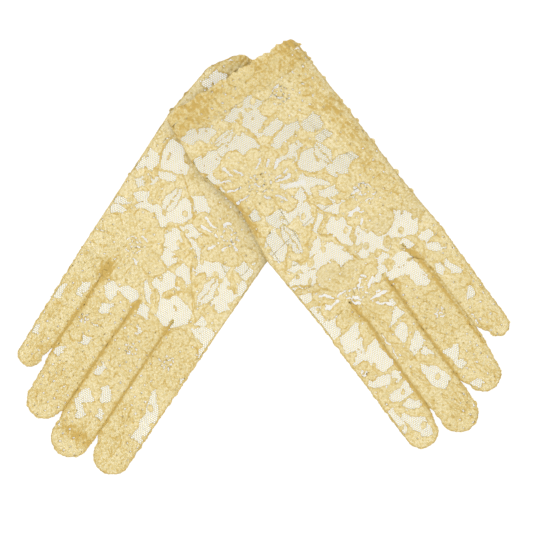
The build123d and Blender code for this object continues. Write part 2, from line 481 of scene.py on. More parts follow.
def draw_leaf(motif, s, t, solid, tone, thread):
    depth = depth_in_leaf(s, t, *motif.points, motif.width)
    rib = 0.45 - line_distance(s, t, motif.points)
    tone = np.where(depth > 0.6, tone * 0.3, tone)
    tone = np.maximum(tone, 0.75 * cord(depth, 0.9))
    tone = np.maximum(tone, 0.6 * cord(rib + 0.2) * (depth > 0))
    return np.maximum(solid, depth), tone, thread


def draw_net_leaf(motif, s, t, solid, tone, thread):
    depth = depth_in_leaf(s, t, *motif.points, motif.width)
    rim = 0.7 - depth
    rib = 0.35 - line_distance(s, t, motif.points)
    solid = np.where(depth > 0, np.minimum(solid, rim), solid)
    solid = np.maximum(solid, np.minimum(depth, np.maximum(rim, rib)))
    return solid, np.maximum(tone, 0.5 * cord(depth)), np.where(depth > 0, LEAF_THREAD, thread)


def draw_stem(motif, s, t, solid, tone, thread):
    depth = motif.width / 2 - line_distance(s, t, motif.points)
    return np.maximum(solid, depth), np.maximum(tone, 0.75 * smooth(depth / 0.5)), thread


def draw_slit(motif, s, t, solid, tone, thread):
    depth = depth_in_drop(s, t, *motif.points, motif.width / 4, motif.width / 2)
    return np.minimum(solid, -depth), tone, np.where(depth > -0.2, SLIT_THREAD, thread)


# A fold is painted shade only: a dark line in the tone, with no relief.
def draw_fold_shade(motif, s, t, solid, tone, thread):
    far = line_distance(s, t, motif.points) / (motif.width / 2)
    return solid, np.maximum(tone, 0.8 * np.exp(-(far ** 2))), thread


DRAWERS = {
    "window": draw_window,
    "petal": draw_petal,
    "leaf": draw_leaf,
    "net_leaf": draw_net_leaf,
    "stem": draw_stem,
    "slit": draw_slit,
    "fold": draw_fold_shade,
}


def petal_depth(s, t, centre, tip, width):
    """Depth inside a petal, how far along it each point is, and how far from its middle line."""
    (a, b), (c, d) = centre, tip
    length = math.hypot(c - a, d - b)
    u, v = (c - a) / length, (d - b) / length
    lobe = width / 2
    end = (c - u * lobe, d - v * lobe)
    start = (a + 0.25 * (end[0] - a), b + 0.25 * (end[1] - b))
    depth = depth_in_drop(s, t, start, end, 0.55 * lobe, lobe)
    outward = ((s - a) * u + (t - b) * v) / length
    aside = ((t - b) * u - (s - a) * v) / lobe
    return depth, outward, aside


# ---- heights ----
def hand_share(s):
    """1 over the hand, 0 over the fingers."""
    return 1.0 - smooth((s - RAMP_TOP) / (RAMP_FOOT - RAMP_TOP))


def middle_height(glove, s):
    """Height half way between the palm and the back."""
    hand = glove.level + THUMB_ROOM + CLOTH + HAND_HOLLOW / 2
    finger = CLOTH + FINGER_HOLLOW / 2
    return finger + (hand - finger) * hand_share(s)


def half_height(s):
    """From that height to the middle of the back's or the palm's cloth."""
    hand = (HAND_HOLLOW + CLOTH) / 2
    finger = (FINGER_HOLLOW + CLOTH) / 2
    return finger + (hand - finger) * hand_share(s)


def sag(glove, s, t):
    """How far the hand's sides droop below its middle height."""
    side = np.clip(1.0 - glove.side_depth(s, t) / HAND_ROUNDING, 0.0, 1.0)
    return SAG * side * side * hand_share(s)


def round_off(depth, rounding):
    """A cushion's cross-section: 0.1 at its edge and 1 once it is flat."""
    x = 1.0 - np.clip(depth / rounding, 0.0, 1.0)
    return 0.1 + 0.9 * np.sqrt(1.0 - x * x)


def wrinkles(glove, s, t, layer):
    """Small soft unevenness of cloth that lies flat, and gathers that fade away from the cuff."""
    seed = 3.0 * glove.side + layer
    soft = 0.22 * ripple(0.09 * s + 0.05 * t, seed) + 0.16 * ripple(0.17 * t - 0.06 * s, seed + 2)
    fade = np.clip(1.0 - (s - glove.hem(t) - CUFF_LENGTH) / 24.0, 0.0, 1.0) ** 2
    return soft * smooth((s - 15) / 20.0) + 0.4 * fade * gathers(glove, s, t, layer)


def gathers(glove, s, t, layer):
    """The gathers across the cuff, between -1 and 1."""
    drift = 1.2 * np.sin(0.21 * t + layer) + 0.06 * (s - glove.hem(t)) * np.sin(0.5 * t)
    wave = np.sin(math.tau * t / GATHER + drift)
    return wave * (0.75 + 0.25 * np.sin(0.9 * t + 2.0 * layer))


def surface(glove, s, t, layer, finger=None):
    """Height of a layer of lace: layer is 1 for the back of the glove and -1 for its palm."""
    rounded = round_off(glove.side_depth(s, t), HAND_ROUNDING)
    if finger is not None:
        own = round_off(line_distance(s, t, finger.outline()), FINGER_ROUNDING)
        rounded += (own - rounded) * smooth((s - finger.knuckle) / 9.0)
    hollow = half_height(s) * rounded
    uneven = wrinkles(glove, s, t, layer) * smooth(glove.side_depth(s, t) / 5.0)
    uneven = uneven + 0.55 * np.clip(glove.crumple_and_shade(s, t), 0, 1) * waver(s, t, 4.5, 8 + layer)
    flat = 0.35 if finger is not None else 1.0
    level = middle_height(glove, s) - sag(glove, s, t)
    return level + layer * hollow + flat * uneven * hand_share(UNEVEN_REACH * s)


def cuff_surface(glove, s, t, layer):
    """Height of the gathered cuff, whose frill waves more towards the hem."""
    rounded = round_off(glove.side_depth(s, t), HAND_ROUNDING)
    behind = s - glove.hem(t)
    size = 0.38 + 0.22 * smooth((RUFFLE - behind) / RUFFLE)
    pinch = 1.0 - 0.45 * np.exp(-(((behind - RUFFLE - ELASTIC / 2) / 1.4) ** 2))
    wave = size * pinch * (0.5 * gathers(glove, s, t, layer) + 0.6 * waver(s, t, 4.0, 8 + layer))
    level = middle_height(glove, s) - sag(glove, s, t)
    return level + layer * half_height(s) * rounded + wave


def thumb_surface(glove, s, t, layer):
    depth = thumb_depth(s, t)
    half = (THUMB_HOLLOW + CLOTH) / 2
    return glove.level + CLOTH + THUMB_HOLLOW / 2 + layer * half * round_off(depth, 3.0)


def thumb_depth(s, t):
    return depth_in_drop(s, t, THUMB_PIVOT, THUMB_TIP, THUMB_BASE_RADIUS, THUMB_TIP_RADIUS)


# ---- making meshes ----
class Builder:
    """Collects points, faces and the plan coordinates and tone of each point."""

    def __init__(self):
        self.points = []
        self.marks = []
        self.corners = []
        self.sizes = []
        self.count = 0

    def add(self, points, marks, corners, sizes):
        self.points.append(points)
        self.marks.append(marks)
        self.corners.append(np.asarray(corners) + self.count)
        self.sizes.append(np.asarray(sizes))
        self.count += len(points)

    def object(self, name, material):
        points = np.concatenate(self.points)
        corners = np.concatenate(self.corners).astype(np.int32)
        sizes = np.concatenate(self.sizes).astype(np.int32)
        mesh = bpy.data.meshes.new(name)
        mesh.vertices.add(len(points))
        mesh.vertices.foreach_set("co", points.astype(np.float32).ravel())
        mesh.loops.add(len(corners))
        mesh.loops.foreach_set("vertex_index", corners)
        mesh.polygons.add(len(sizes))
        starts = np.concatenate([[0], np.cumsum(sizes)[:-1]]).astype(np.int32)
        mesh.polygons.foreach_set("loop_start", starts)
        mesh.update(calc_edges=True)
        marks = np.concatenate(self.marks).astype(np.float32)
        net = (marks[:, 2] == NET_TONE).astype(np.float32)
        plan = mesh.attributes.new("plan", "FLOAT_VECTOR", "POINT")
        plan.data.foreach_set("vector", np.column_stack([marks[:, :2], net]).ravel())
        tone = mesh.attributes.new("tone", "FLOAT", "POINT")
        tone.data.foreach_set("value", np.ascontiguousarray(marks[:, 2]))
        mesh.validate()
        mesh.materials.append(material)
        made = bpy.data.objects.new(name, mesh)
        bpy.context.scene.collection.objects.link(made)
        return made


def contour(value, channels):
    """Polygons over a grid wherever value is above 0, with the channels carried to every point.

    The grid's first index runs along s. Each cell gives one polygon, or two where only opposite
    corners are inside.
    """
    inside = value > 0
    cross_s = inside[:-1, :] != inside[1:, :]
    cross_t = inside[:, :-1] != inside[:, 1:]
    share_s = (value[:-1, :] / (value[:-1, :] - value[1:, :] + 1e-12))[cross_s][:, None]
    share_t = (value[:, :-1] / (value[:, :-1] - value[:, 1:] + 1e-12))[cross_t][:, None]
    points = [
        channels[inside],
        channels[:-1, :][cross_s] * (1 - share_s) + channels[1:, :][cross_s] * share_s,
        channels[:, :-1][cross_t] * (1 - share_t) + channels[:, 1:][cross_t] * share_t,
    ]
    numbers, start = [], 0
    for mask in (inside, cross_s, cross_t):
        number = np.full(mask.shape, -1)
        number[mask] = start + np.arange(mask.sum())
        start += mask.sum()
        numbers.append(number)
    corner, along_s, along_t = numbers
    ring = np.stack(
        [
            corner[:-1, :-1], along_s[:, :-1], corner[1:, :-1], along_t[1:, :],
            corner[1:, 1:], along_s[:, 1:], corner[:-1, 1:], along_t[:-1, :],
        ],
        axis=-1,
    ).reshape(-1, 8)
    ring = ring[(ring >= 0).any(1)]
    is_corner = ring[:, 0::2] >= 0
    opposite = (is_corner == [True, False, True, False]).all(1)
    opposite |= (is_corner == [False, True, False, True]).all(1)
    whole = ring[~opposite]
    rows = [row for row in (whole, *split_cells(ring[opposite], is_corner[opposite])) if len(row)]
    corners = np.concatenate([row[row >= 0] for row in rows])
    sizes = np.concatenate([(row >= 0).sum(1) for row in rows])
    return np.concatenate(points), corners, sizes


def split_cells(ring, is_corner):
    """Cells with two opposite corners inside, as one triangle round each corner."""
    parts = []
    for k in range(4):
        chosen = ring[is_corner[:, k]]
        parts.append(chosen[:, [(2 * k - 1) % 8, 2 * k, 2 * k + 1]])
    return parts


def reversed_faces(corners, sizes):
    """The same faces, turned over."""
    ends = np.cumsum(sizes)
    owner = np.repeat(np.arange(len(sizes)), sizes)
    place = np.arange(len(corners)) - (ends - sizes)[owner]
    return corners[(ends - 1)[owner] - place]


def rim_edges(corners, sizes, count):
    """The directed edges that only one face uses."""
    ends = np.cumsum(sizes)
    following = np.arange(1, len(corners) + 1)
    following[ends - 1] = ends - sizes
    first, second = corners, corners[following]
    there, back = first * count + second, second * count + first
    single = ~np.isin(there, back)
    return first[single], second[single]


def add_cloth(builder, glove, value, channels, height):
    """Solid lace of real thickness wherever value is above 0."""
    if not (value > 0).any():
        return
    plan, corners, sizes = contour(value, channels)
    if glove.side < 0:
        corners = reversed_faces(corners, sizes)
    s, t, tone = plan[:, 0], plan[:, 1], plan[:, 2]
    z = height(s, t)
    count = len(plan)
    top = glove.place(s, t, z + THICKNESS / 2 + RELIEF * np.clip(tone, 0, 1))
    bottom = glove.place(s, t, z - THICKNESS / 2)
    first, second = rim_edges(corners, sizes, count)
    walls = np.column_stack([second, first, first + count, second + count])
    faces = np.concatenate([corners, reversed_faces(corners, sizes) + count, walls.ravel()])
    face_sizes = np.concatenate([sizes, sizes, np.full(len(walls), 4)])
    builder.add(np.concatenate([top, bottom]), np.concatenate([plan, plan]), faces, face_sizes)


def net_edges(low_s, high_s, low_t, high_t):
    """The edges of a honeycomb over a rectangle, as two arrays of plan points."""
    edge = NET_PITCH / math.sqrt(3)
    column, row = NET_PITCH, 1.5 * edge
    i, j = np.meshgrid(
        np.arange(math.floor(low_t / column) - 1, math.ceil(high_t / column) + 2),
        np.arange(math.floor(low_s / row) - 1, math.ceil(high_s / row) + 2),
    )
    t = (i + 0.5 * (j % 2)) * column
    s = j * row
    here = np.column_stack([s.ravel(), t.ravel()])
    ends = [(-edge / 2, column / 2), (-edge / 2, -column / 2), (edge, 0.0)]
    start = np.concatenate([here] * 3)
    end = np.concatenate([here + e for e in ends])
    return start, end


def add_net(builder, glove, low, high, depth, height, fineness):
    """Net threads between two corners, wherever the lace isn't solid and depth(s, t) is above 0.

    Under the other glove the threads follow that glove's net.
    """
    corner_s = np.array([low[0], high[0], high[0], low[0]])
    corner_t = np.array([low[1], low[1], high[1], high[1]])
    for source in (glove, glove.cover):
        if source is None:
            continue
        s, t = source.plan_of(glove, corner_s, corner_t)
        start, end = net_edges(s.min(), s.max(), t.min(), t.max())
        ends = []
        for points in (start, end):
            a, b = glove.plan_of(source, points[:, 0], points[:, 1])
            ends.append(np.column_stack([a, b]))
        start, end = ends
        middle = (start + end) / 2
        solid, _, thread = pattern(glove, middle[:, 0], middle[:, 1])
        keep = (depth(middle[:, 0], middle[:, 1]) > 0) & (solid < 0.2) & (thread > 0)
        keep &= covered(glove, middle[:, 0], middle[:, 1]) == (source is not glove)
        add_threads(builder, glove, start[keep], end[keep], fineness * thread[keep], height)


def covered(glove, s, t):
    """Which plan points lie under the other glove."""
    if glove.cover is None:
        return np.zeros(s.shape, bool)
    cover_s, cover_t = glove.cover.plan_of(glove, np.ravel(s), np.ravel(t))
    return (glove.cover.in_hand(cover_s, cover_t) > COVER_EDGE).reshape(np.shape(s))


def add_threads(builder, glove, start, end, radius, height):
    """Short three-sided net threads between pairs of plan points."""
    if not len(start):
        return
    along = end - start
    along /= np.linalg.norm(along, axis=1)[:, None]
    across = np.column_stack([-along[:, 1], along[:, 0]])
    r = radius[:, None]
    marks, points = [], []
    for point in (start - along * r * 0.5, end + along * r * 0.5):
        z = height(point[:, 0], point[:, 1])
        for sideways, up in THREAD_SECTION:
            p = point + across * r * sideways
            points.append(glove.place(p[:, 0], p[:, 1], z + up * radius))
            marks.append(np.column_stack([p, np.full(len(p), NET_TONE)]))
    count = len(start)
    number = np.arange(count)
    a, b, c, d, e, f = (number + k * count for k in range(6))
    quads = np.concatenate(
        [np.column_stack(q) for q in ((a, b, e, d), (b, c, f, e), (c, a, d, f))]
    )
    caps = np.concatenate([np.column_stack([a, c, b]), np.column_stack([d, e, f])])
    sizes = np.concatenate([np.full(len(quads), 4), np.full(len(caps), 3)])
    corners = np.concatenate([quads.ravel(), caps.ravel()])
    if glove.side > 0:
        corners = reversed_faces(corners, sizes)
    builder.add(np.concatenate(points), np.concatenate(marks), corners, sizes)


def lace_panel(glove, name, outline, depth, height, step, material, dark=0.0, fineness=1.0):
    """A panel of lace: solid motifs and net, cut to depth(s, t) > 0 inside the outline's box."""
    low = np.min(outline, axis=0) - MARGIN
    high = np.max(outline, axis=0) + MARGIN
    s, t = np.meshgrid(
        np.arange(low[0], high[0], step), np.arange(low[1], high[1], step), indexing="ij"
    )
    solid, tone, thread = (x.reshape(s.shape) for x in pattern(glove, s, t))
    inside = depth(s, t)
    border = SELVAGE - side_of(glove, s, t)
    solid = np.where(covered(glove, s, t), solid, np.maximum(solid, border))
    tone = np.maximum(tone, 0.45 * smooth(border + 0.4)) + dark
    value = np.minimum(inside, solid)
    builder = Builder()
    add_cloth(builder, glove, value, np.stack([s, t, tone], axis=-1), height)
    add_net(builder, glove, low, high, depth, height, fineness)
    return builder.object(name, material)


def side_of(glove, s, t):
    """Distance to the nearest seam: the glove's outer sides, and the gaps between its fingers."""
    distance = glove.side_depth(s, t)
    for finger in glove.fingers:
        beyond = s > finger.knuckle - 0.5
        own = line_distance(s, t, finger.outline())
        distance = np.where(beyond, np.minimum(distance, own), distance)
    return distance


def add_tube(builder, glove, path, height, wide, tall, tone, stitch=0.0):
    """A round cord along a plan path; stitch is how deeply its stitches pinch it."""
    points = spaced(path, CORD_STEP)
    slender = np.where(covered(glove, points[:, 0], points[:, 1]), COVERED_CORD, 1.0)
    ahead = np.gradient(points, axis=0)
    ahead /= np.linalg.norm(ahead, axis=1)[:, None]
    across = np.column_stack([-ahead[:, 1], ahead[:, 0]])
    pinch = slender * (1.0 - stitch * (np.arange(len(points)) % 3 == 0))
    z = height(points[:, 0], points[:, 1])
    ring = 8
    places, marks = [], []
    for k in range(ring):
        angle = math.tau * k / ring
        p = points + across * (wide * math.cos(angle) * pinch)[:, None]
        places.append(glove.place(p[:, 0], p[:, 1], z + tall * math.sin(angle) * pinch))
        marks.append(np.column_stack([p, np.full(len(p), tone) + 0.25 * (pinch < slender)]))
    count = len(points)
    number = np.arange(count - 1)
    quads = []
    for k in range(ring):
        here, following = k * count + number, (k + 1) % ring * count + number
        quads.append(np.column_stack([here, here + 1, following + 1, following]))
    quads = np.concatenate(quads)
    first_cap = np.arange(ring) * count
    caps = np.concatenate([first_cap, first_cap[::-1] + count - 1])
    corners = np.concatenate([quads.ravel(), caps])
    sizes = np.concatenate([np.full(len(quads), 4), [ring, ring]])
    if glove.side < 0:
        corners = reversed_faces(corners, sizes)
    builder.add(np.concatenate(places), np.concatenate(marks), corners, sizes)


def spaced(path, step):
    """Evenly spaced points along a line."""
    path = np.array(path, float)
    lengths = np.concatenate([[0], np.cumsum(np.linalg.norm(np.diff(path, axis=0), axis=1))])
    count = max(3, int(round(lengths[-1] / step)) + 1)
    at = np.linspace(0, lengths[-1], count)
    return np.column_stack([np.interp(at, lengths, path[:, k]) for k in range(2)])


# ---- the two gloves ----
# Where the lace is folded round the flower at s 23.5, t 16: lines of painted shade.
F1_FOLDS = [
    (12.8, 24.5, 9.6, 26.5), (16.5, 29.4, 14.1, 32.4), (20.8, 32.9, 19.7, 35.4), (25.1, 31.3, 26.9, 35.4),
    (27.1, 28.9, 31.4, 32.4), (30.5, 25.5, 35.8, 30.9), (11.0, 20.0, 7.5, 20.9), (7.1, 10.3, 7.9, 14.7),
    (7.8, 4.6, 7.7, 8.9), (38.3, 24.7, 43.2, 27.8),
]

LEFT_LACE = (
    windows(
        [(14.5, -1.5), (15.5, 3), (21, 11), (22, 9), (21, 1), (17, -3)],
        [(22, 0), (30, 4), (35.5, -5), (33, -8.5), (25, -10), (22, -6)],
        [(17, -4), (20, -5), (20.5, -13), (17, -14.5), (15.5, -9)],
        [(28, -13), (40, -9), (40, -14), (36, -22), (31, -29), (28, -28), (27.5, -20)],
        [(14, -25), (19, -24), (20, -30), (16, -33), (13, -30)],
        [(11, -33), (15.5, -33.5), (16, -38), (11, -40.5), (9.5, -37)],
        [(25, -40), (31, -31), (34, -32), (34.5, -40), (28, -45), (24, -43)],
        [(24.5, -36), (28, -30.5), (29, -32), (26, -38)],
        [(36, -40), (41.5, -38.5), (40, -45), (36, -45)],
        [(43, 24), (50.5, 25.5), (50.5, 19), (46, 15.5), (43.5, 17)],
        [(42, 14.5), (45, 11), (45.5, -2), (43, -4.5), (41, 2), (40, 8)],
        [(33.5, 6.5), (37, 7.5), (38, 0), (36, -3), (34, 1)],
        [(50, 9), (52.5, 9), (52, 3.5), (50, 3)],
        [(58, 12), (69, 13), (67.5, 4), (63, 1), (58, 2.5), (57, 7)],
        [(71, 12.5), (76, 12), (80.5, 18), (77, 20), (75.5, 28.5), (72, 28), (70, 20)],
        [(51, 1), (54, 3.5), (57.5, 1), (55, -4), (57, -13), (54, -13), (52, -5)],
        [(66, -1), (69, 0.5), (76.5, 9), (78, 8), (71, -4), (65, -13.5), (63.5, -12.5), (67, -5)],
        [(72.5, -2), (75.5, -3), (78, -12), (75, -13), (72, -6)],
        [(54, 23.5), (57, 25.5), (57, 19), (54, 18.5)],
        [(66, -32.5), (71, -33.5), (69.5, -36), (66, -35.5)],
        [(45, -39.5), (47.5, -40), (46, -43.5)],
        [(79, 1), (81, 10), (84.5, 10), (84, 4), (81, 0)],
        [(85, 2), (92, 12.5), (94.5, 11), (94, 3), (90, -1), (86, -4.5), (83.5, -3.5)],
        [(95, 0), (102, 4.5), (106, 2), (110.5, -1), (111, -4), (104, -6), (98, -10.5), (96, -7)],
        [(88, -7), (92, -3.5), (94, -6), (95, -13), (90, -12)],
        [(80, -8), (84, -9), (88, -11), (89, -15.5), (84, -15.5), (79, -13)],
        [(71, -29.5), (80, -29), (82, -22), (80.5, -16), (78, -13.5), (76, -18), (74, -24)],
        [(80, -31), (94, -31), (96, -36), (93, -40), (86, -39.5), (81, -35)],
        [(111, 26), (114, 31.5), (120, 34.5), (126, 33), (127.5, 30), (124, 23), (122, 17.5), (118, 16)],
        [(127, 23), (131.5, 25), (131, 20.5), (128, 19.5)],
        [(112, 6), (115, 14), (117, 16), (119, 13), (122.5, 4), (121, -0.5), (119, -1), (116, 4)],
        [(106.5, 7), (110, 7.5), (114, 0.5), (112, 0)],
        [(121, 13), (124, 14.5), (125.5, 11), (122, 9)],
        [(126, 8.5), (129, 10), (129, 6), (127, 4.5)],
        [(103.5, -12), (110, -7), (117, -5.5), (119.5, -10), (118, -15), (110, -24.5), (106, -22)],
        [(98, -14), (101, -16), (103.5, -19), (103.5, -24.5), (100, -21)],
        [(105.5, -27), (109, -25), (108.5, -30), (105, -31)],
        [(108, -35), (112, -25), (115.5, -25), (116, -33), (112.5, -42), (108.5, -41)],
        [(101.5, -32), (104.5, -31.5), (105, -36), (102, -37)],
        [(117, -41.5), (121, -35), (125.5, -32.5), (123, -38), (120, -41.5)],
        [(127, -37), (131, -35.5), (137, -40), (131, -41.5), (127, -41)],
        [(129.5, 5), (134, 4.5), (138.5, -9.5), (136, -9), (130.5, 0)],
        [(131, 18), (137, 19.5), (137, 13), (132, 11.5)],
        [(138.5, 19.5), (153, 20), (154, 17), (146, 13.5), (139, 12)],
        [(130, 35.5), (134.5, 37), (134, 32), (131, 30.5)],
        [(136, 31), (140, 36.5), (144, 37.5), (142, 33.5), (138, 30.5)],
        [(136.5, -27.5), (140, -30), (147, -38), (146, -42), (139, -41.5), (137, -34)],
        [(148, -26), (152, -27.5), (155, -36), (154, -38.5), (149, -37)],
        [(135, 10.5), (141, 11), (139.5, 2.5), (136, 5)],
        [(160.5, -23.5), (176.5, -23), (176.5, -29), (170, -32), (165, -31), (161, -27)],
        [(155, -28.5), (159, -31), (159, -36), (156, -39)],
        [(160, -31), (166.5, -33), (165, -40), (161, -34.5)],
        [(178, -33), (180, -29), (184, -31), (182, -36), (179, -40.5), (177, -36)],
        [(181, -24), (185.5, -24), (185, -27.5), (182, -27.5)],
        [(189, -24), (195.5, -24), (195, -30), (193, -35), (191, -34.5), (190, -28)],
        [(198, -27), (201, -24.5), (204.5, -25.5), (201, -30.5), (198, -31.5)],
        [(202, -35), (208, -31), (211, -26.5), (219.5, -29), (218, -33), (210, -34.5), (204, -36.5)],
        [(196, -38), (210, -38.5), (210, -40.5), (196, -40.5)],
        [(147, -8.5), (149, -2.5), (151.5, -3), (148, -9.5)],
        [(154, -3), (158.5, -3), (158, -6), (160.5, -11), (157, -8)],
        [(162.5, -5), (166, -4.5), (171, -11), (164, -11.5)],
        [(170.5, -2.5), (177, -2), (179.5, -11), (176, -10), (172, -5)],
        [(180, -4), (185.5, -2.5), (184, -5.5), (181, -6.5)],
        [(187, -10.5), (193, -5), (201.5, -3.5), (204, -9), (198, -12.5), (190, -12.5)],
        [(189.5, 11.5), (193, 8.5), (197, 4.5), (188.5, 4)],
        [(197, 8.5), (200.5, 8.5), (200, 5), (197, 5)],
        [(210, 6), (213, 9.5), (215.5, 7), (211, 5)],
        [(149, 33), (153, 35.5), (158.5, 36.5), (157, 33)],
        [(148, 27.5), (153, 27.5), (153, 30.5), (149, 30.5)],
        [(168, 33), (173, 32.5), (174, 35), (169, 35.5)],
    )
    + net_leaves(8.5, (54, 15.5, 71, 16.5), (80, -25.5, 101, -26.5))
    + net_leaves(6.0, (24, -13, 24.5, -31))
    + leaves(3.6, (46.5, 15, 47, 3), (125, 12, 119, 17), (113, -43, 119, -35), (122, -42, 128, -33))
    + leaves(3.2, (91, 0, 96, -13), (105, 4.5, 113, -2), (29, 5, 34, -3), (20, -31, 27, -38))
    + leaves(4.6, (70, 8, 81, 12), (46, 3, 52, -2), (78, -5, 88, 4), (120, 3, 130, 3))
    + stems(
        1.3,
        [(21, -12), (26, -9.5), (33, -8.6), (40, -8), (46, -6)],
        [(38.5, 8), (39.5, 0), (41, -5)],
        [(53, 15), (54.5, 7), (58, 2), (63, 0), (67.5, 2.5), (71, 8)],
        [(72, -5), (80, -6), (88, -4), (94, 0.5)],
        [(86, -6), (92, -14), (98, -20), (104, -26)],
        [(97, -12), (101, -8), (108, -6), (116, -5), (122, -2)],
        [(94, -31), (98, -36), (103, -40)],
        [(104, -25), (102, -31), (99, -34)],
        [(116, -33), (113, -38), (110, -42)],
    )
    + flower((23.5, 16), 5.5, (39, 14, 12), (40, 27, 13), (31, 38, 12), (17, 38, 13), (5, 30, 13),
             (4, 16, 11), (13, 5, 9), (27, 2.5, 10))
    + flower((55, -21), 6.5, (32.5, -30, 17), (38, -13.5, 10), (46, -4, 8), (60.5, 1, 12),
             (78, -14, 10), (72, -29, 12), (63, -38, 9), (52, -41.5, 10), (43, -39, 8))
    + flower((93, 20.5), 6.5, (78.5, 13, 11), (78, 27, 11), (85, 37, 11), (98, 38, 11), (111, 33, 11),
             (118, 17, 17), (104, 4, 9), (95.5, 2.5, 7), (87, 7, 6))
    + flower((134.5, -16), 5.5, (111.5, -24, 17), (118, -7, 11), (128, 1.5, 8), (143, 2, 9),
             (152.5, -7, 12), (149, -22, 9), (143.5, -34, 8), (133, -38.5, 9), (121, -36, 7))
    + flower((170, 14), 3.0, (157, 17, 8), (160, 7, 8), (172, 4, 8), (182, 9, 9), (183, 19, 8))
    + flower((172, -39), 2.0, (166, -34, 5), (177, -33, 7))
    + leaves(5.5, (205, -12, 222, -7), (205, -3, 221, -4), (200, 13, 214, 16), (183, 36, 196, 36))
    + leaves(4.5, (150, -15, 164, -13), (166, -17, 182, -13), (184, -17, 199, -14), (156, 39, 170, 37))
    + slits(
        1.7,
        (43.8, -31.4, 38.2, -32.6), (46.2, -26.4, 41.7, -27.8), (45.3, -33.9, 42, -38.2),
        (51.4, -31.1, 48.6, -38.4), (57, -30, 57, -38), (48, -17.7, 44.7, -13.1), (50.5, -13.5, 48.5, -9.9),
        (59, -13.1, 58.3, -5.9), (60.3, -14.1, 62.2, -6.1), (66.3, -18.6, 70.8, -15.3),
        (66, -22, 63, -24), (101.5, 14, 97.5, 8), (90, 14.5, 90, 18), (131.5, -25, 132.5, -32),
        (129, -26, 125, -30.5), (130, -20, 129.5, -24), (139, -10, 140.7, -4), (20, 14, 18.5, 18),
        (97.7, 13.1, 99, 6.7), (100.9, 12.8, 105.2, 9.5), (128.7, -26.5, 123.9, -32.4),
        (132.5, -26, 131.6, -33.5), (141.6, -11.3, 142.9, -4.1), (144.8, -9.7, 150.3, -4.3),
        (136.3, -9.3, 132.8, -3.2), (133.8, -21.6, 137.1, -16.7), (136.5, -21.6, 139.7, -17.3),
        (133.3, -12.4, 130.1, -9.4),
    )
    + slits(2.4, (53.8, -10.5, 52.2, -5.9), (65.5, -11.5, 69.1, -2.4), (142, -10, 143.4, -3))
    + slits(2.6, (128.5, -7.6, 129.5, -6.6))
    + slits(1.1, (181, 27.5, 187, 27.3), (170, -18.6, 176, -18.8), (160, -17.8, 167, -18.4))
    + fold_shades(1.2, *F1_FOLDS)
)

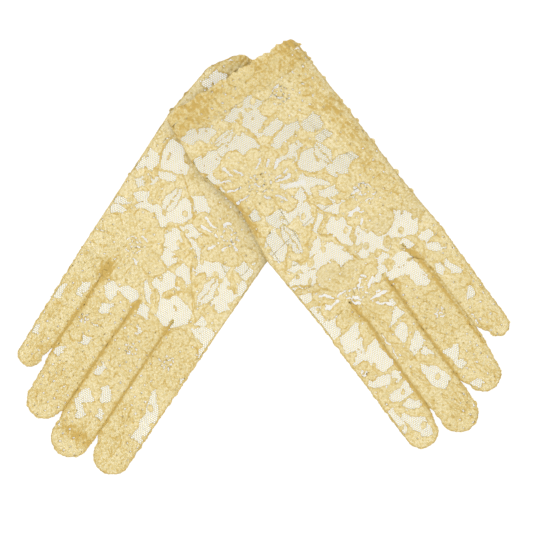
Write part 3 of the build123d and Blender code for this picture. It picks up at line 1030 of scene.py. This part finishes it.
RIGHT_LACE = (
    windows(
        [(13.5, 30), (16, 36.5), (20, 37.5), (20.5, 32), (17, 29)],
        [(22, 35), (22.5, 38.5), (25, 39), (25, 35)],
        [(60, 37), (71, 35.5), (74.5, 30), (71, 19.5), (66, 20), (60.5, 27)],
        [(48, 26), (50, 30), (55.5, 32.5), (57, 28), (52, 25)],
        [(42, 23), (50, 25), (50, 20), (45, 20)],
        [(70, 41.5), (82, 42.5), (79, 35), (76, 33.5), (70.5, 38)],
        [(75, 22), (78, 30.5), (79.5, 29), (79, 24), (76, 21)],
        [(81, 30), (84, 35.5), (88, 37.5), (90, 36), (85, 30.5)],
        [(91.5, 29), (94.5, 35.5), (97, 32), (94, 28)],
        [(94, 13), (93.5, 20), (95, 27), (100.5, 31), (100, 20), (104, 16), (100, 11.5)],
        [(82, 11), (92, 13.5), (96.5, 12), (93, 6), (88, 2.5), (84, 4)],
        [(100.5, 35), (103, 38), (104.5, 42), (102, 42), (100, 37)],
        [(106, 33), (109.5, 40), (107, 42), (105, 36)],
        [(121.5, 33), (126.5, 38), (123, 42), (121, 37), (120, 30.5)],
        [(76.5, 4), (79, 8.5), (82, 4), (84.5, 0), (82, -10), (79, -2)],
        [(92, 0), (94, 2.5), (99.5, 6.5), (97, 0), (94, -9), (90.5, -11), (94, -4)],
        [(100, 4), (103, 9.5), (109.5, 8.5), (110, 2), (105, -0.5), (102, 0)],
        [(111, 3), (117, 9.5), (119.5, 5), (120, 0), (115, -4), (111, -5.5), (110, -1)],
        [(120, -3), (129, 0), (131, -4), (136, -9.5), (128, -10.5), (124, -14), (119.5, -8)],
        [(98, -2), (101, -7), (103, -12.5), (99, -10)],
        [(112, -8), (116.5, -7.5), (120.5, -12), (118.5, -17), (113, -11.5)],
        [(105, -12), (113, -15), (110, -19.5), (108, -24), (106, -29), (98.5, -29.5), (101, -24), (103, -18)],
        [(129.5, -13), (136, -10), (142.5, -12), (145, -18), (140, -25), (135, -28.5), (131, -25),
         (129, -18)],
        [(105, -31), (120, -31), (121.5, -38), (118, -41.5), (110, -41)],
        [(82.5, -30.5), (87, -38.5), (90, -40), (86, -32.5)],
        [(92.5, -35), (98.5, -33.5), (99, -40.5), (94, -41)],
        [(130.5, -33), (134.5, -31), (133, -36.5), (131, -36.5)],
        [(132.5, -40), (138, -32.5), (140, -36), (141.5, -43), (135, -43.5)],
        [(143.5, -42), (149.5, -40.5), (148, -44)],
        [(101, -39.5), (108, -41.5), (107, -44), (103, -43)],
        [(140.5, 18.5), (146, 20), (149, 15), (144, 12)],
        [(138.5, 9), (142, 12.5), (144, 4), (139, 2)],
        [(130.5, 4), (135, 1), (138.5, -4), (134, -1)],
        [(142, -2.5), (147.5, -2.5), (146, -8.5), (143, -6)],
        [(154, -6), (159, -6), (158, -10.5), (155, -10)],
        [(181, -1.5), (187, -2), (186, -4.5), (182, -4)],
        [(196.5, -4), (199, -2), (204, -2), (204, -5), (200, -9)],
        [(205, -1), (208, -3), (212.5, -7), (209, -9.5), (206, -6)],
        [(189.5, -12), (193, -10.5), (198, -14), (195, -16.5), (191, -14)],
        [(203, -15), (206, -15.5), (206, -18.5), (203.5, -18)],
        [(177.5, -33), (190, -37.5), (204.5, -38.5), (204, -43.5), (190, -43), (182, -39)],
        [(162, -38.5), (164.5, -38), (165.5, -42.5), (162, -42.5)],
        [(151, 12), (155, 15.5), (158.5, 14), (156, 11.5)],
        [(162, 12), (163, 15.5), (166, 14), (165, 11.5)],
        [(171.5, 11.5), (173, 15), (175.5, 16.5), (177.5, 14), (176, 11)],
        [(186, 20), (187, 22.5), (190.5, 22), (190, 20)],
        [(149.5, 28), (151, 31), (157.5, 30.5), (157, 28)],
        [(157, 38), (160, 40.5), (166, 40.5), (165, 37.5)],
        [(182.5, 38), (184, 39.5), (187.5, 39), (187, 37.5)],
    )
    + net_leaves(8.5, (77, 17, 95.5, 16.5), (106.5, -27.5, 127, -27.5))
    + leaves(4.0, (76, 34, 83, 31), (85, 24, 95, 24), (79, 40, 91, 28), (119, -9, 123, -15))
    + leaves(3.6, (103, -5, 112, -2), (104, -9, 111, -16), (125, -12, 134, -9), (100, -32, 110, -40))
    + leaves(4.6, (120, -35, 130, -31), (108, -20, 118, -20), (130, -3, 140, -9), (60, 26, 66, 19))
    + stems(
        1.3,
        [(57, 36), (65, 37), (72, 35), (80, 30)],
        [(72, 20), (78, 11), (84, 5), (88, 1.5), (94, 3.5), (99, 9), (104, 11)],
        [(97, 6), (99, -3), (104, -9), (112, -13), (120, -19), (130, -27), (134, -31)],
        [(104, -8), (112, -6), (118, -2)],
        [(127, -27), (122, -21), (124, -16), (130, -11)],
    )
    + flower((118, 20), 5.5, (98, 23, 17), (103, 10, 10), (111, 5, 7), (123.5, -2, 12), (137, 7, 13),
             (140, 19, 10), (131, 32, 10), (127, 42, 8), (114, 42, 11), (105, 34, 9))
    + flower((86, -19), 6.5, (87.5, 1.5, 12), (76, -4, 8), (72, -13, 9), (72, -24, 10), (78, -34, 9),
             (88, -39, 8), (98, -31, 9), (103, -16, 15), (97, -7, 6))
    + flower((161, -31), 4.0, (141, -28, 14), (146, -41, 10), (158, -44, 10), (170, -42, 9),
             (176, -31, 10), (166, -23, 8), (152, -23, 8))
    + flower((166, -11), 3.5, (152, -15, 8), (155, -3, 8), (167, -1, 8), (179, -6, 9), (178, -17, 8),
             (164, -20, 7))
    + flower((166, 20), 3.0, (152, 20, 8), (160, 10, 7), (172, 10, 7), (180, 18, 8), (172, 24, 7))
    + leaves(5.5, (205, -12, 216, -14), (200, 6, 214, 10), (192, 15, 208, 16), (184, 34, 197, 35))
    + leaves(5.0, (186, -26, 204, -30), (206, -32, 222, -34), (165, 34, 178, 36), (150, 36, 160, 34))
    + slits(
        1.7,
        (85.5, -11, 84.6, -4), (88.5, -11, 89.4, -4.5), (94, -17, 97, -15), (82, -14, 80, -16),
        (91, -22, 93, -21), (88, -25, 89, -27), (113, 15, 112, 18), (124, 16, 125, 13),
    )
)

# The lines along which neighbouring fingers lie side by side, as in the part.
RIGHT_RING_LITTLE = [(188, 24.8)]
RIGHT_MIDDLE_RING = [(165, 1.4), (213, 0.9)]
RIGHT_INDEX_MIDDLE = [(213, -21.7)]
LEFT_RING_LITTLE = [(138, 20.6), (142, 24.2), (150, 25.3), (187, 25.2)]
LEFT_MIDDLE_RING = [(150, 2.6), (175, 1.2), (206, 0.7)]
LEFT_INDEX_MIDDLE = [(155, -19.2), (170, -20.8), (205, -21.2)]

RIGHT = Glove(
    name="right",
    side=-1,
    thumb_edge=[(8, -70), (50, -52), (85, -44.5), (142, -44.4)],
    little_edge=[(0, 31), (16, 41), (47, 44.4), (135, 42.4)],
    fingers=[
        Finger(
            "index", 142, -44.4, -20.6,
            low_side=[(216, -44.8)],
            tip=(229, -34),
            high_side=[*RIGHT_INDEX_MIDDLE, (218.5, -24.8)],
        ),
        Finger(
            "middle", 143, -20.6, 0.6,
            low_side=[*RIGHT_INDEX_MIDDLE, (222, -21.4)],
            tip=(234, -11.8),
            high_side=[*RIGHT_MIDDLE_RING, (220, -0.6)],
        ),
        Finger(
            "ring", 142, 0.6, 24.5,
            low_side=[*RIGHT_MIDDLE_RING, (218, 3)],
            tip=(224.5, 11.5),
            high_side=[*RIGHT_RING_LITTLE, (197, 23.4), (215.5, 21.8)],
        ),
        Finger(
            "little", 135, 24.5, 42.4,
            low_side=[*RIGHT_RING_LITTLE, (196, 27)],
            tip=(205.3, 33.5),
            high_side=[(198, 39.2)],
        ),
    ],
    motifs=RIGHT_LACE,
    tufts=[(28, 41, 1.5), (35, 42.2, 1.7), (46.5, 44.0, 1.5), (88, 43.4, 1.0)],
    # Crumpled places at the cuff and little side, also darker as doubled lace, and painted shade at the roots
    # of the finger gaps and on the folded middle fingertip; the faint spots near the tips only darken the
    # tone.
    crumple_shade_spots=[
        (137, 25, 5, 4.5, 0.9), (144, 0.6, 3.6, 1.6, 1.0), (145, -20.8, 3.8, 1.8, 0.9),
        (220.5, -13, 3.2, 10, 1.1), (30, 30, 18, 6, 0.4), (43, 35, 6, 4, 0.3), (2, 25, 5, 6, 0.5),
        (200, 30, 8, 8, 0.15), (205, 12, 14, 8, 0.12), (205, -32, 14, 8, 0.15),
    ],
    # Painted shade along the gaps between the fingers.
    shade_lines=[
        ([(133, 24.5), *RIGHT_RING_LITTLE, (196, 25)], 1.8, 0.95),
        ([(142, 0.6), *RIGHT_MIDDLE_RING, (218, 1)], 1.7, 0.95),
        ([(142, -20.7), *RIGHT_INDEX_MIDDLE, (217, -22)], 1.5, 0.8),
    ],
)
LEFT = Glove(
    name="left",
    side=1,
    thumb_edge=[(-3.5, -40.4), (30, -44.6), (60, -38.5), (92, -43.5), (138, -41.4)],
    little_edge=[(3.5, 40.4), (98, 41), (115, 41.8), (130.5, 42.8)],
    fingers=[
        Finger(
            "index", 138, -41.4, -21.2,
            low_side=[(214.5, -41.6)],
            tip=(224.3, -33),
            high_side=[*LEFT_INDEX_MIDDLE, (215.5, -23.8)],
        ),
        Finger(
            "middle", 140, -21.2, 2.0,
            low_side=[*LEFT_INDEX_MIDDLE, (216, -20.2)],
            tip=(230, -10.5),
            high_side=[*LEFT_MIDDLE_RING, (218.5, 0)],
        ),
        Finger(
            "ring", 137, 2.0, 20.2,
            low_side=[*LEFT_MIDDLE_RING, (211, 3.6)],
            tip=(220.2, 12.5),
            high_side=[*LEFT_RING_LITTLE, (195, 24.6), (210.5, 22.2)],
        ),
        Finger(
            "little", 130.5, 20.2, 42.8,
            low_side=[*LEFT_RING_LITTLE, (194.5, 29.4)],
            tip=(200.3, 34.8),
            high_side=[(194.5, 41.4)],
        ),
    ],
    motifs=LEFT_LACE,
    tufts=[
        (46.5, 40.2, 1.4), (53, 40.3, 1.6), (60, 40.4, 1.6), (74, 40.5, 1.8), (86, 40.5, 1.1),
        (95, 40.8, 1.8), (108, 41.2, 1.5), (20, 40.3, 1.0), (31, 40.4, 1.2),
    ],
    # Crumpled places at the cuff corners and little side, also darker as doubled lace, and painted shade at
    # the roots of the finger gaps and along the thumb edge; the faint spot near the middle tip only darkens
    # the tone.
    crumple_shade_spots=[
        (6, 36, 7, 7, 0.6), (2, -25, 9, 16, 0.55), (5, 16, 4, 3, 0.5), (60, 34, 40, 7, 0.4),
        (45, 35, 5, 4, 0.35), (141, 4, 6, 2.5, 0.7), (142, -21.2, 4, 1.5, 0.9), (134, 22, 4, 1.6, 0.8),
        (155, 23, 6, 2.5, 0.4), (220, -10, 8, 8, 0.15), (68, -38, 14, 2.2, 0.5),
    ],
    # Painted shade along the gaps between the fingers and along the folded edge by the thumb.
    shade_lines=[
        ([(131, 20.5), (140, 23), (150, 23.4), (196, 23.2)], 1.5, 0.8),
        ([(140, 2.2), (150, 2.4), (175, 1.4), (211, 1.2)], 1.8, 0.9),
        ([(139, -21), (150, -20), (170, -21.6), (214, -22)], 1.6, 0.9),
        ([(24, -43.5), (40, -41.5), (60, -37.8), (78, -40)], 1.1, 0.8),
        ([(38, -38), (56, -34), (70, -35.5)], 0.9, 0.35),
    ],
)
RIGHT.cover = LEFT


# ---- materials ----
NET_COLOUR = (0.98, 0.885, 0.43)
LACE_LIGHT = (0.95, 0.885, 0.68)
LACE_MIDDLE = (0.765, 0.645, 0.32)
LACE_DARK = (0.64, 0.45, 0.13)
CUFF_LIGHT = (0.91, 0.82, 0.60)
SEAM_LIGHT = (0.74, 0.58, 0.25)
SEAM_MIDDLE = (0.66, 0.47, 0.14)
ELASTIC_COLOUR = (0.74, 0.59, 0.28)
FLOOR_COLOUR = (0.1, 0.1, 0.1)
FLOOR_GLOW = 0.93  # how bright the floor is by itself, so that it stays white under the lace
LACE_THROUGH = 0.36  # share of the light that the lace lets through
SEAM_THROUGH = 0.12  # the same for the seams
ELASTIC_THROUGH = 0.1
THREAD_SCALE = 2.2  # knitted threads in the lace's bump, as the wave texture's scale
ELASTIC_SCALE = 3.4


def new_material(name):
    material = bpy.data.materials.new(name)
    material.use_nodes = True
    nodes = material.node_tree.nodes
    nodes.clear()
    return material, nodes, material.node_tree.links


def add_node(nodes, kind, **settings):
    node = nodes.new(kind)
    for key, value in settings.items():
        if key in node.inputs:
            node.inputs[key].default_value = value
        else:
            setattr(node, key, value)
    return node


def maths(nodes, links, operation, first, second):
    """A Math node of two values, each a socket or a number."""
    node = nodes.new("ShaderNodeMath")
    node.operation = operation
    for socket, value in zip(node.inputs, (first, second)):
        if isinstance(value, (int, float)):
            socket.default_value = value
        else:
            links.new(value, socket)
    return node.outputs[0]


def lace_material(name, light, middle, dark, translucency=LACE_THROUGH, thread_scale=THREAD_SCALE):
    """Cotton lace: knitted threads, cords darker than the cloth, and a little light through it."""
    material, nodes, links = new_material(name)
    plan = add_node(nodes, "ShaderNodeAttribute", attribute_name="plan").outputs["Vector"]
    knots = add_node(nodes, "ShaderNodeTexVoronoi", Scale=1.35, Randomness=0.55)
    links.new(plan, knots.inputs["Vector"])
    colour = lace_colour(nodes, links, plan, knots.outputs["Distance"], (light, middle, dark))
    normal = lace_bump(nodes, links, plan, knots.outputs["Distance"], thread_scale)
    cloth = add_node(nodes, "ShaderNodeBsdfPrincipled", Roughness=0.88)
    cloth.inputs["Sheen Weight"].default_value = 0.04
    cloth.inputs["Sheen Roughness"].default_value = 0.5
    cloth.inputs["Specular IOR Level"].default_value = 0.1
    through = nodes.new("ShaderNodeBsdfTranslucent")
    for shader, socket in ((cloth, "Base Color"), (through, "Color")):
        links.new(colour, shader.inputs[socket])
        links.new(normal, shader.inputs["Normal"])
    mix = nodes.new("ShaderNodeMixShader")
    mix.inputs["Fac"].default_value = translucency
    output = nodes.new("ShaderNodeOutputMaterial")
    links.new(cloth.outputs[0], mix.inputs[1])
    links.new(through.outputs[0], mix.inputs[2])
    links.new(mix.outputs[0], output.inputs["Surface"])
    return material


def lace_colour(nodes, links, plan, knots, colours):
    """The lace's colour from its tone, mottled and knotted, and the net's own colour on its threads."""
    tone = add_node(nodes, "ShaderNodeAttribute", attribute_name="tone").outputs["Fac"]
    blotch = add_node(nodes, "ShaderNodeTexNoise", Scale=0.9, Detail=3.0, Roughness=0.6)
    links.new(plan, blotch.inputs["Vector"])
    mottle = maths(nodes, links, "SUBTRACT", blotch.outputs["Fac"], 0.5)
    mottle = maths(nodes, links, "MULTIPLY", mottle, 0.7)
    holes = maths(nodes, links, "MULTIPLY", knots, 0.75)
    shade = maths(nodes, links, "ADD", tone, mottle)
    shade = maths(nodes, links, "ADD", shade, holes)
    shade = maths(nodes, links, "SUBTRACT", shade, 0.08)
    light, middle, dark = colours
    ramp = nodes.new("ShaderNodeValToRGB")
    ramp.color_ramp.elements[0].color = (*light, 1)
    ramp.color_ramp.elements[1].color = (*dark, 1)
    ramp.color_ramp.elements.new(0.5).color = (*middle, 1)
    links.new(shade, ramp.inputs["Fac"])
    is_net = nodes.new("ShaderNodeSeparateXYZ")
    links.new(plan, is_net.inputs[0])
    colour = nodes.new("ShaderNodeMixRGB")
    colour.inputs["Color2"].default_value = (*NET_COLOUR, 1)
    links.new(is_net.outputs["Z"], colour.inputs["Fac"])
    links.new(ramp.outputs["Color"], colour.inputs["Color1"])
    return colour.outputs["Color"]


def lace_bump(nodes, links, plan, knots, thread_scale):
    """The relief of the knitted threads, which cross, and of the knots between them."""
    weft = add_node(nodes, "ShaderNodeTexWave", Scale=thread_scale, Distortion=0.8)
    warp = add_node(nodes, "ShaderNodeTexWave", Scale=thread_scale * 0.8, Distortion=0.6)
    weft.bands_direction = "DIAGONAL"
    warp.bands_direction = "Y"
    for texture in (weft, warp):
        links.new(plan, texture.inputs["Vector"])
    threads = maths(nodes, links, "ADD", weft.outputs["Fac"], warp.outputs["Fac"])
    relief = maths(nodes, links, "SUBTRACT", threads, knots)
    bump = add_node(nodes, "ShaderNodeBump", Strength=0.55, Distance=0.00022)
    links.new(relief, bump.inputs["Height"])
    return bump.outputs["Normal"]


def floor_material():
    material, nodes, links = new_material("floor_paper")
    paper = add_node(nodes, "ShaderNodeBsdfPrincipled", Roughness=1.0)
    paper.inputs["Base Color"].default_value = (*FLOOR_COLOUR, 1)
    paper.inputs["Specular IOR Level"].default_value = 0.0
    paper.inputs["Emission Color"].default_value = (1, 1, 1, 1)
    paper.inputs["Emission Strength"].default_value = FLOOR_GLOW
    output = nodes.new("ShaderNodeOutputMaterial")
    links.new(paper.outputs[0], output.inputs["Surface"])
    return material


FLORAL_LACE = lace_material("floral_lace_cotton", LACE_LIGHT, LACE_MIDDLE, LACE_DARK)
CUFF_LACE = lace_material("cuff_lace_cotton", CUFF_LIGHT, LACE_MIDDLE, LACE_DARK)
SEAM_LACE = lace_material("seam_lace_cotton", SEAM_LIGHT, SEAM_MIDDLE, LACE_DARK, SEAM_THROUGH)
ELASTIC_THREAD = lace_material(
    "elastic_thread", ELASTIC_COLOUR, LACE_MIDDLE, LACE_DARK, ELASTIC_THROUGH, ELASTIC_SCALE
)


# ---- pieces ----
BLEND_LENGTH = 11.0  # how far past its knuckle two points on a finger's middle line lie; nothing reads them
SEAM_INSET = 0.35  # how far inside the outline a seam's or strip's middle line runs


def finish_piece(glove, piece, node, finger=None):
    """Hides the piece's CAD node and puts the piece on the hand's or the thumb's body; a finger's piece is
    fixed where it is, on no body.
    """
    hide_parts(f"{glove.name}_{node}")
    if finger == "thumb":
        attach(piece, f"{glove.name}_thumb")
    elif finger is None:
        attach(piece, f"{glove.name}_hand")
    else:
        middle = (finger.low + finger.high) / 2
        at = [finger.knuckle, finger.knuckle + BLEND_LENGTH]
        start, end = glove.place(at, [middle, middle], [0.0, 0.0])
        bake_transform(piece)


def hand_panels(glove):
    """The back and palm of the hand, from the cuff to the knuckles."""
    outline = glove.hand_outline()

    def depth(s, t):
        return np.minimum(glove.in_hand(s, t), s - glove.hem(t) - CUFF_LENGTH)

    for node, layer, step, fineness in (
        ("back_panel", 1, HAND_STEP, 1.0),
        ("palm_panel", -1, PALM_STEP, PALM_THREAD),
    ):
        name = f"{glove.name}_{node}_lace"
        piece = lace_panel(
            glove, name, outline, depth,
            lambda s, t: surface(glove, s, t, layer), step, FLORAL_LACE, fineness=fineness,
        )
        finish_piece(glove, piece, node)


def cuff_parts(glove):
    """The gathered band, the frill outside it and the elastic between them, on both sides."""
    middle = RUFFLE + ELASTIC / 2
    for side, layer in (("back", 1), ("palm", -1)):
        step = FINGER_STEP if layer > 0 else PALM_STEP
        for part, start, end in (("ruffle", -0.6, middle), ("band", middle, CUFF_LENGTH)):
            cut_cuff(glove, part, side, layer, step, start, end)
        elastic(glove, side, layer)


def cut_cuff(glove, part, side, layer, step, start, end):
    (s0, t0), (s1, t1) = glove.thumb_edge[0], glove.little_edge[0]
    t0, t1 = min(t0, glove.thumb_edge[1][1]) - 1, max(t1, glove.little_edge[1][1]) + 1
    outline = [(s0 + start, t0), (s0 + end, t0), (s1 + end, t1), (s1 + start, t1)]

    def depth(s, t):
        behind = s - glove.hem(t)
        lip = start
        if part == "ruffle":
            lip = -0.8 + 0.9 * ripple(0.5 * t, glove.side) + 0.35 * ripple(1.6 * t, 2.0 + glove.side)
        sides = in_cuff(glove, s, t) + 0.6 + 0.6 * waver(s, t, 5.5, 13)
        return np.minimum(rounded_least(sides, behind - lip, CORNER_ROUNDING), end - behind)

    piece = lace_panel(
        glove, f"{glove.name}_{part}_{side}_lace", outline, depth,
        lambda s, t: cuff_surface(glove, s, t, layer), step, CUFF_LACE, dark=CUFF_DARK,
    )
    finish_piece(glove, piece, f"{part}_{side}")


def rounded_least(first, second, radius):
    """The lesser of two depths, with the corner between them rounded off."""
    a, b = np.maximum(radius - first, 0), np.maximum(radius - second, 0)
    corner = radius - np.hypot(a, b)
    return np.where((first < radius) & (second < radius), corner, np.minimum(first, second))


def in_cuff(glove, s, t):
    """Depth inside the glove's sides, carried on past the hem."""
    (s0, t0), (s1, t1) = glove.thumb_edge[:2]
    (s2, t2), (s3, t3) = glove.little_edge[:2]
    low = t - (t0 + (t1 - t0) * (s - s0) / (s1 - s0))
    high = (t2 + (t3 - t2) * (s - s2) / (s3 - s2)) - t
    return np.minimum(low, high)


def elastic(glove, side, layer):
    """Two rows of zigzag elastic stitches over the gathers."""
    builder = Builder()
    low_t, high_t = glove.thumb_edge[0][1], glove.little_edge[0][1]
    for row in (0.0, 1.0):
        t = np.arange(low_t + 1.0, high_t - 0.5, 0.9)
        zigzag = 0.38 * (-1.0) ** np.arange(len(t)) + 0.5 * ripple(0.5 * t, row)
        path = np.column_stack([glove.hem(t) + RUFFLE + 0.35 + 0.8 * row + zigzag, t])

        def height(s, t):
            return cuff_surface(glove, s, t, layer) + layer * 0.22

        add_tube(builder, glove, path, height, *ELASTIC_CORD, tone=0.12)
    piece = builder.object(f"{glove.name}_elastic_{side}_stitches", ELASTIC_THREAD)
    finish_piece(glove, piece, f"elastic_{side}")


def side_seams(glove):
    """The rolled seam down each side of the hand."""
    for node, edge, inward in (
        ("thumb_side_seam", glove.thumb_edge, SEAM_INSET),
        ("little_side_seam", glove.little_edge, -SEAM_INSET),
    ):
        builder = Builder()
        path = [(s, t + inward) for s, t in from_corner(edge, 3.5)]

        def height(s, t):
            return middle_height(glove, s) - sag(glove, s, t)

        add_tube(builder, glove, path, height, *SEAM_CORD, tone=0.15, stitch=0.25)
        piece = builder.object(f"{glove.name}_{node}_cord", SEAM_LACE)
        finish_piece(glove, piece, node)


def from_corner(edge, start):
    """An edge without its first few millimetres, where the cuff's corner is rounded."""
    (a, b), (c, d) = edge[:2]
    share = start / math.hypot(c - a, d - b)
    return [(a + share * (c - a), b + share * (d - b)), *edge[1:]]


def gussets(glove):
    """The small gathered gusset at the root of each gap between two fingers."""
    for first, second in zip(glove.fingers, glove.fingers[1:]):
        crotch = min(first.knuckle, second.knuckle)
        builder = Builder()
        for k, offset in enumerate((-0.7, 0.0, 0.7)):
            path = [(crotch - 2.6, second.low + 0.4 * offset), (crotch + 0.3, second.low + offset)]

            def height(s, t):
                return middle_height(glove, s) + 0.6 * (k - 1)

            add_tube(builder, glove, path, height, *GUSSET_CORD, tone=0.3, stitch=0.2)
        node = f"{first.name}_{second.name}_gusset"
        piece = builder.object(f"{glove.name}_{node}_gathers", SEAM_LACE)
        finish_piece(glove, piece, node)


def finger_parts(glove, finger):
    """One finger's back, palm and side strip."""
    outline = finger.outline()

    def depth(s, t):
        return depth_in(s, t, outline) + 0.35 + 0.3 * waver(s, t, 5.0, 15) + 0.2 * waver(s, t, 2.2, 16)

    for part, layer, step, fineness in (
        ("back", 1, FINGER_STEP, 1.0),
        ("palm", -1, PALM_STEP, PALM_THREAD),
    ):
        name = f"{glove.name}_{finger.name}_{part}_lace"
        piece = lace_panel(
            glove, name, outline, depth,
            lambda s, t: surface(glove, s, t, layer, finger), step, FLORAL_LACE, FINGER_DARK, fineness,
        )
        finish_piece(glove, piece, f"{finger.name}_{part}", finger)
    builder = Builder()
    inset = shrunk(outline, SEAM_INSET)

    def height(s, t):
        return middle_height(glove, s)

    add_tube(builder, glove, inset, height, *STRIP_CORD, tone=0.4, stitch=0.25)
    piece = builder.object(f"{glove.name}_{finger.name}_side_strip_cord", FLORAL_LACE)
    finish_piece(glove, piece, f"{finger.name}_side_strip", finger)


def shrunk(outline, inset):
    """An open outline moved inwards, keeping the places of its two ends along s."""
    points = np.array(outline, float)
    ahead = np.gradient(points, axis=0)
    ahead /= np.linalg.norm(ahead, axis=1)[:, None]
    inward = np.column_stack([-ahead[:, 1], ahead[:, 0]])
    moved = points + inset * inward
    moved[0, 0] = moved[-1, 0] = outline[0][0]
    return moved


def thumb_parts(glove):
    """The thumb, tucked flat under the palm."""
    (s0, t0), (s1, t1), radius = THUMB_PIVOT, THUMB_TIP, THUMB_BASE_RADIUS
    outline = [
        (s0 - radius, t0 - radius), (s1 + radius, t1 - radius),
        (s1 + radius, t1 + radius), (s0 - radius, t0 + radius),
    ]
    for part, layer in (("back", 1), ("palm", -1)):
        piece = lace_panel(
            glove, f"{glove.name}_thumb_{part}_lace", outline, thumb_depth,
            lambda s, t: thumb_surface(glove, s, t, layer), PALM_STEP, FLORAL_LACE,
        )
        finish_piece(glove, piece, f"thumb_{part}", "thumb")
    builder = Builder()
    path = thumb_outline(0.4)

    def height(s, t):
        return np.full(np.shape(s), glove.level + CLOTH + THUMB_HOLLOW / 2)

    add_tube(builder, glove, path, height, *THUMB_CORD, tone=0.0, stitch=0.2)
    piece = builder.object(f"{glove.name}_thumb_side_strip_cord", FLORAL_LACE)
    finish_piece(glove, piece, "thumb_side_strip", "thumb")


def thumb_outline(inset):
    """The thumb's side strip: down one side, round the tip and back."""
    heading = math.atan2(THUMB_TIP[1] - THUMB_PIVOT[1], THUMB_TIP[0] - THUMB_PIVOT[0])
    path = []
    for centre, radius, first, last in (
        (THUMB_PIVOT, THUMB_BASE_RADIUS, -150, -90),
        (THUMB_TIP, THUMB_TIP_RADIUS, -90, 90),
        (THUMB_PIVOT, THUMB_BASE_RADIUS, 90, 150),
    ):
        for angle in heading + np.radians(np.linspace(first, last, 12)):
            along, across = math.cos(angle), math.sin(angle)
            path.append((centre[0] + (radius - inset) * along, centre[1] + (radius - inset) * across))
    return path


# ---- stage ----
FLOOR_HALF = 40.0  # metres, so that its edge is never seen
FLOOR_DROP = 0.0004  # keeps the floor clear of the lowest threads
SKY = 1.17
LIGHTS = (  # name, place in metres, size, power
    ("key", (-0.55, 0.75, 1.5), 1.2, 13.0),
    ("fill", (-0.9, -0.5, 1.1), 1.4, 7.0),
    ("second_fill", (0.8, -0.8, 1.0), 1.4, 9.0),
)
VIEW_WIDTH = 0.2878  # how much of the floor the picture spans
VIEW_SHIFT = (0.0015, -0.0056)  # from the middle of the gloves to the middle of the picture
LENS = 500.0  # long, because the photo shows no perspective
SENSOR = 36.0


def studio():
    """A pale floor, soft light from all round and above, and the camera straight above."""
    floor()
    world = bpy.data.worlds.new("studio")
    world.use_nodes = True
    background = world.node_tree.nodes["Background"]
    background.inputs["Color"].default_value = (1, 1, 1, 1)
    background.inputs["Strength"].default_value = SKY
    bpy.context.scene.world = world
    for light in LIGHTS:
        area_light(*light)
    bpy.context.scene.view_settings.view_transform = "Standard"
    bpy.context.scene.cycles.denoising_prefilter = "NONE"  # keeps the fine net
    camera()


def floor():
    mesh = bpy.data.meshes.new("floor")
    corners = [(x * FLOOR_HALF, y * FLOOR_HALF, 0) for x, y in ((-1, -1), (1, -1), (1, 1), (-1, 1))]
    mesh.from_pydata(corners, [], [(0, 1, 2, 3)])
    mesh.materials.append(floor_material())
    paper = bpy.data.objects.new("floor", mesh)
    paper.location.z = CAD_BOX[0].z - FLOOR_DROP
    bpy.context.scene.collection.objects.link(paper)


def camera():
    """The camera straight above, looking down."""
    low, high = CAD_BOX
    data = bpy.data.cameras.new("camera")
    data.lens = LENS
    data.sensor_width = SENSOR
    data.clip_end = 100.0
    placed = bpy.data.objects.new("camera", data)
    centre = (low + high) / 2
    height = high.z + VIEW_WIDTH * LENS / SENSOR
    placed.location = (centre.x + VIEW_SHIFT[0], centre.y + VIEW_SHIFT[1], height)
    bpy.context.scene.collection.objects.link(placed)
    bpy.context.scene.camera = placed


def area_light(name, place, size, power):
    light = bpy.data.lights.new(name, "AREA")
    light.size = size
    light.energy = power
    lamp = bpy.data.objects.new(name, light)
    lamp.location = place
    lamp.rotation_euler = (Vector((0, 0, 0)) - Vector(place)).to_track_quat("-Z", "Y").to_euler()
    bpy.context.scene.collection.objects.link(lamp)


studio()
for glove in (RIGHT, LEFT):
    hand_panels(glove)
    cuff_parts(glove)
    side_seams(glove)
    gussets(glove)
    for finger in glove.fingers:
        finger_parts(glove, finger)
    thumb_parts(glove)
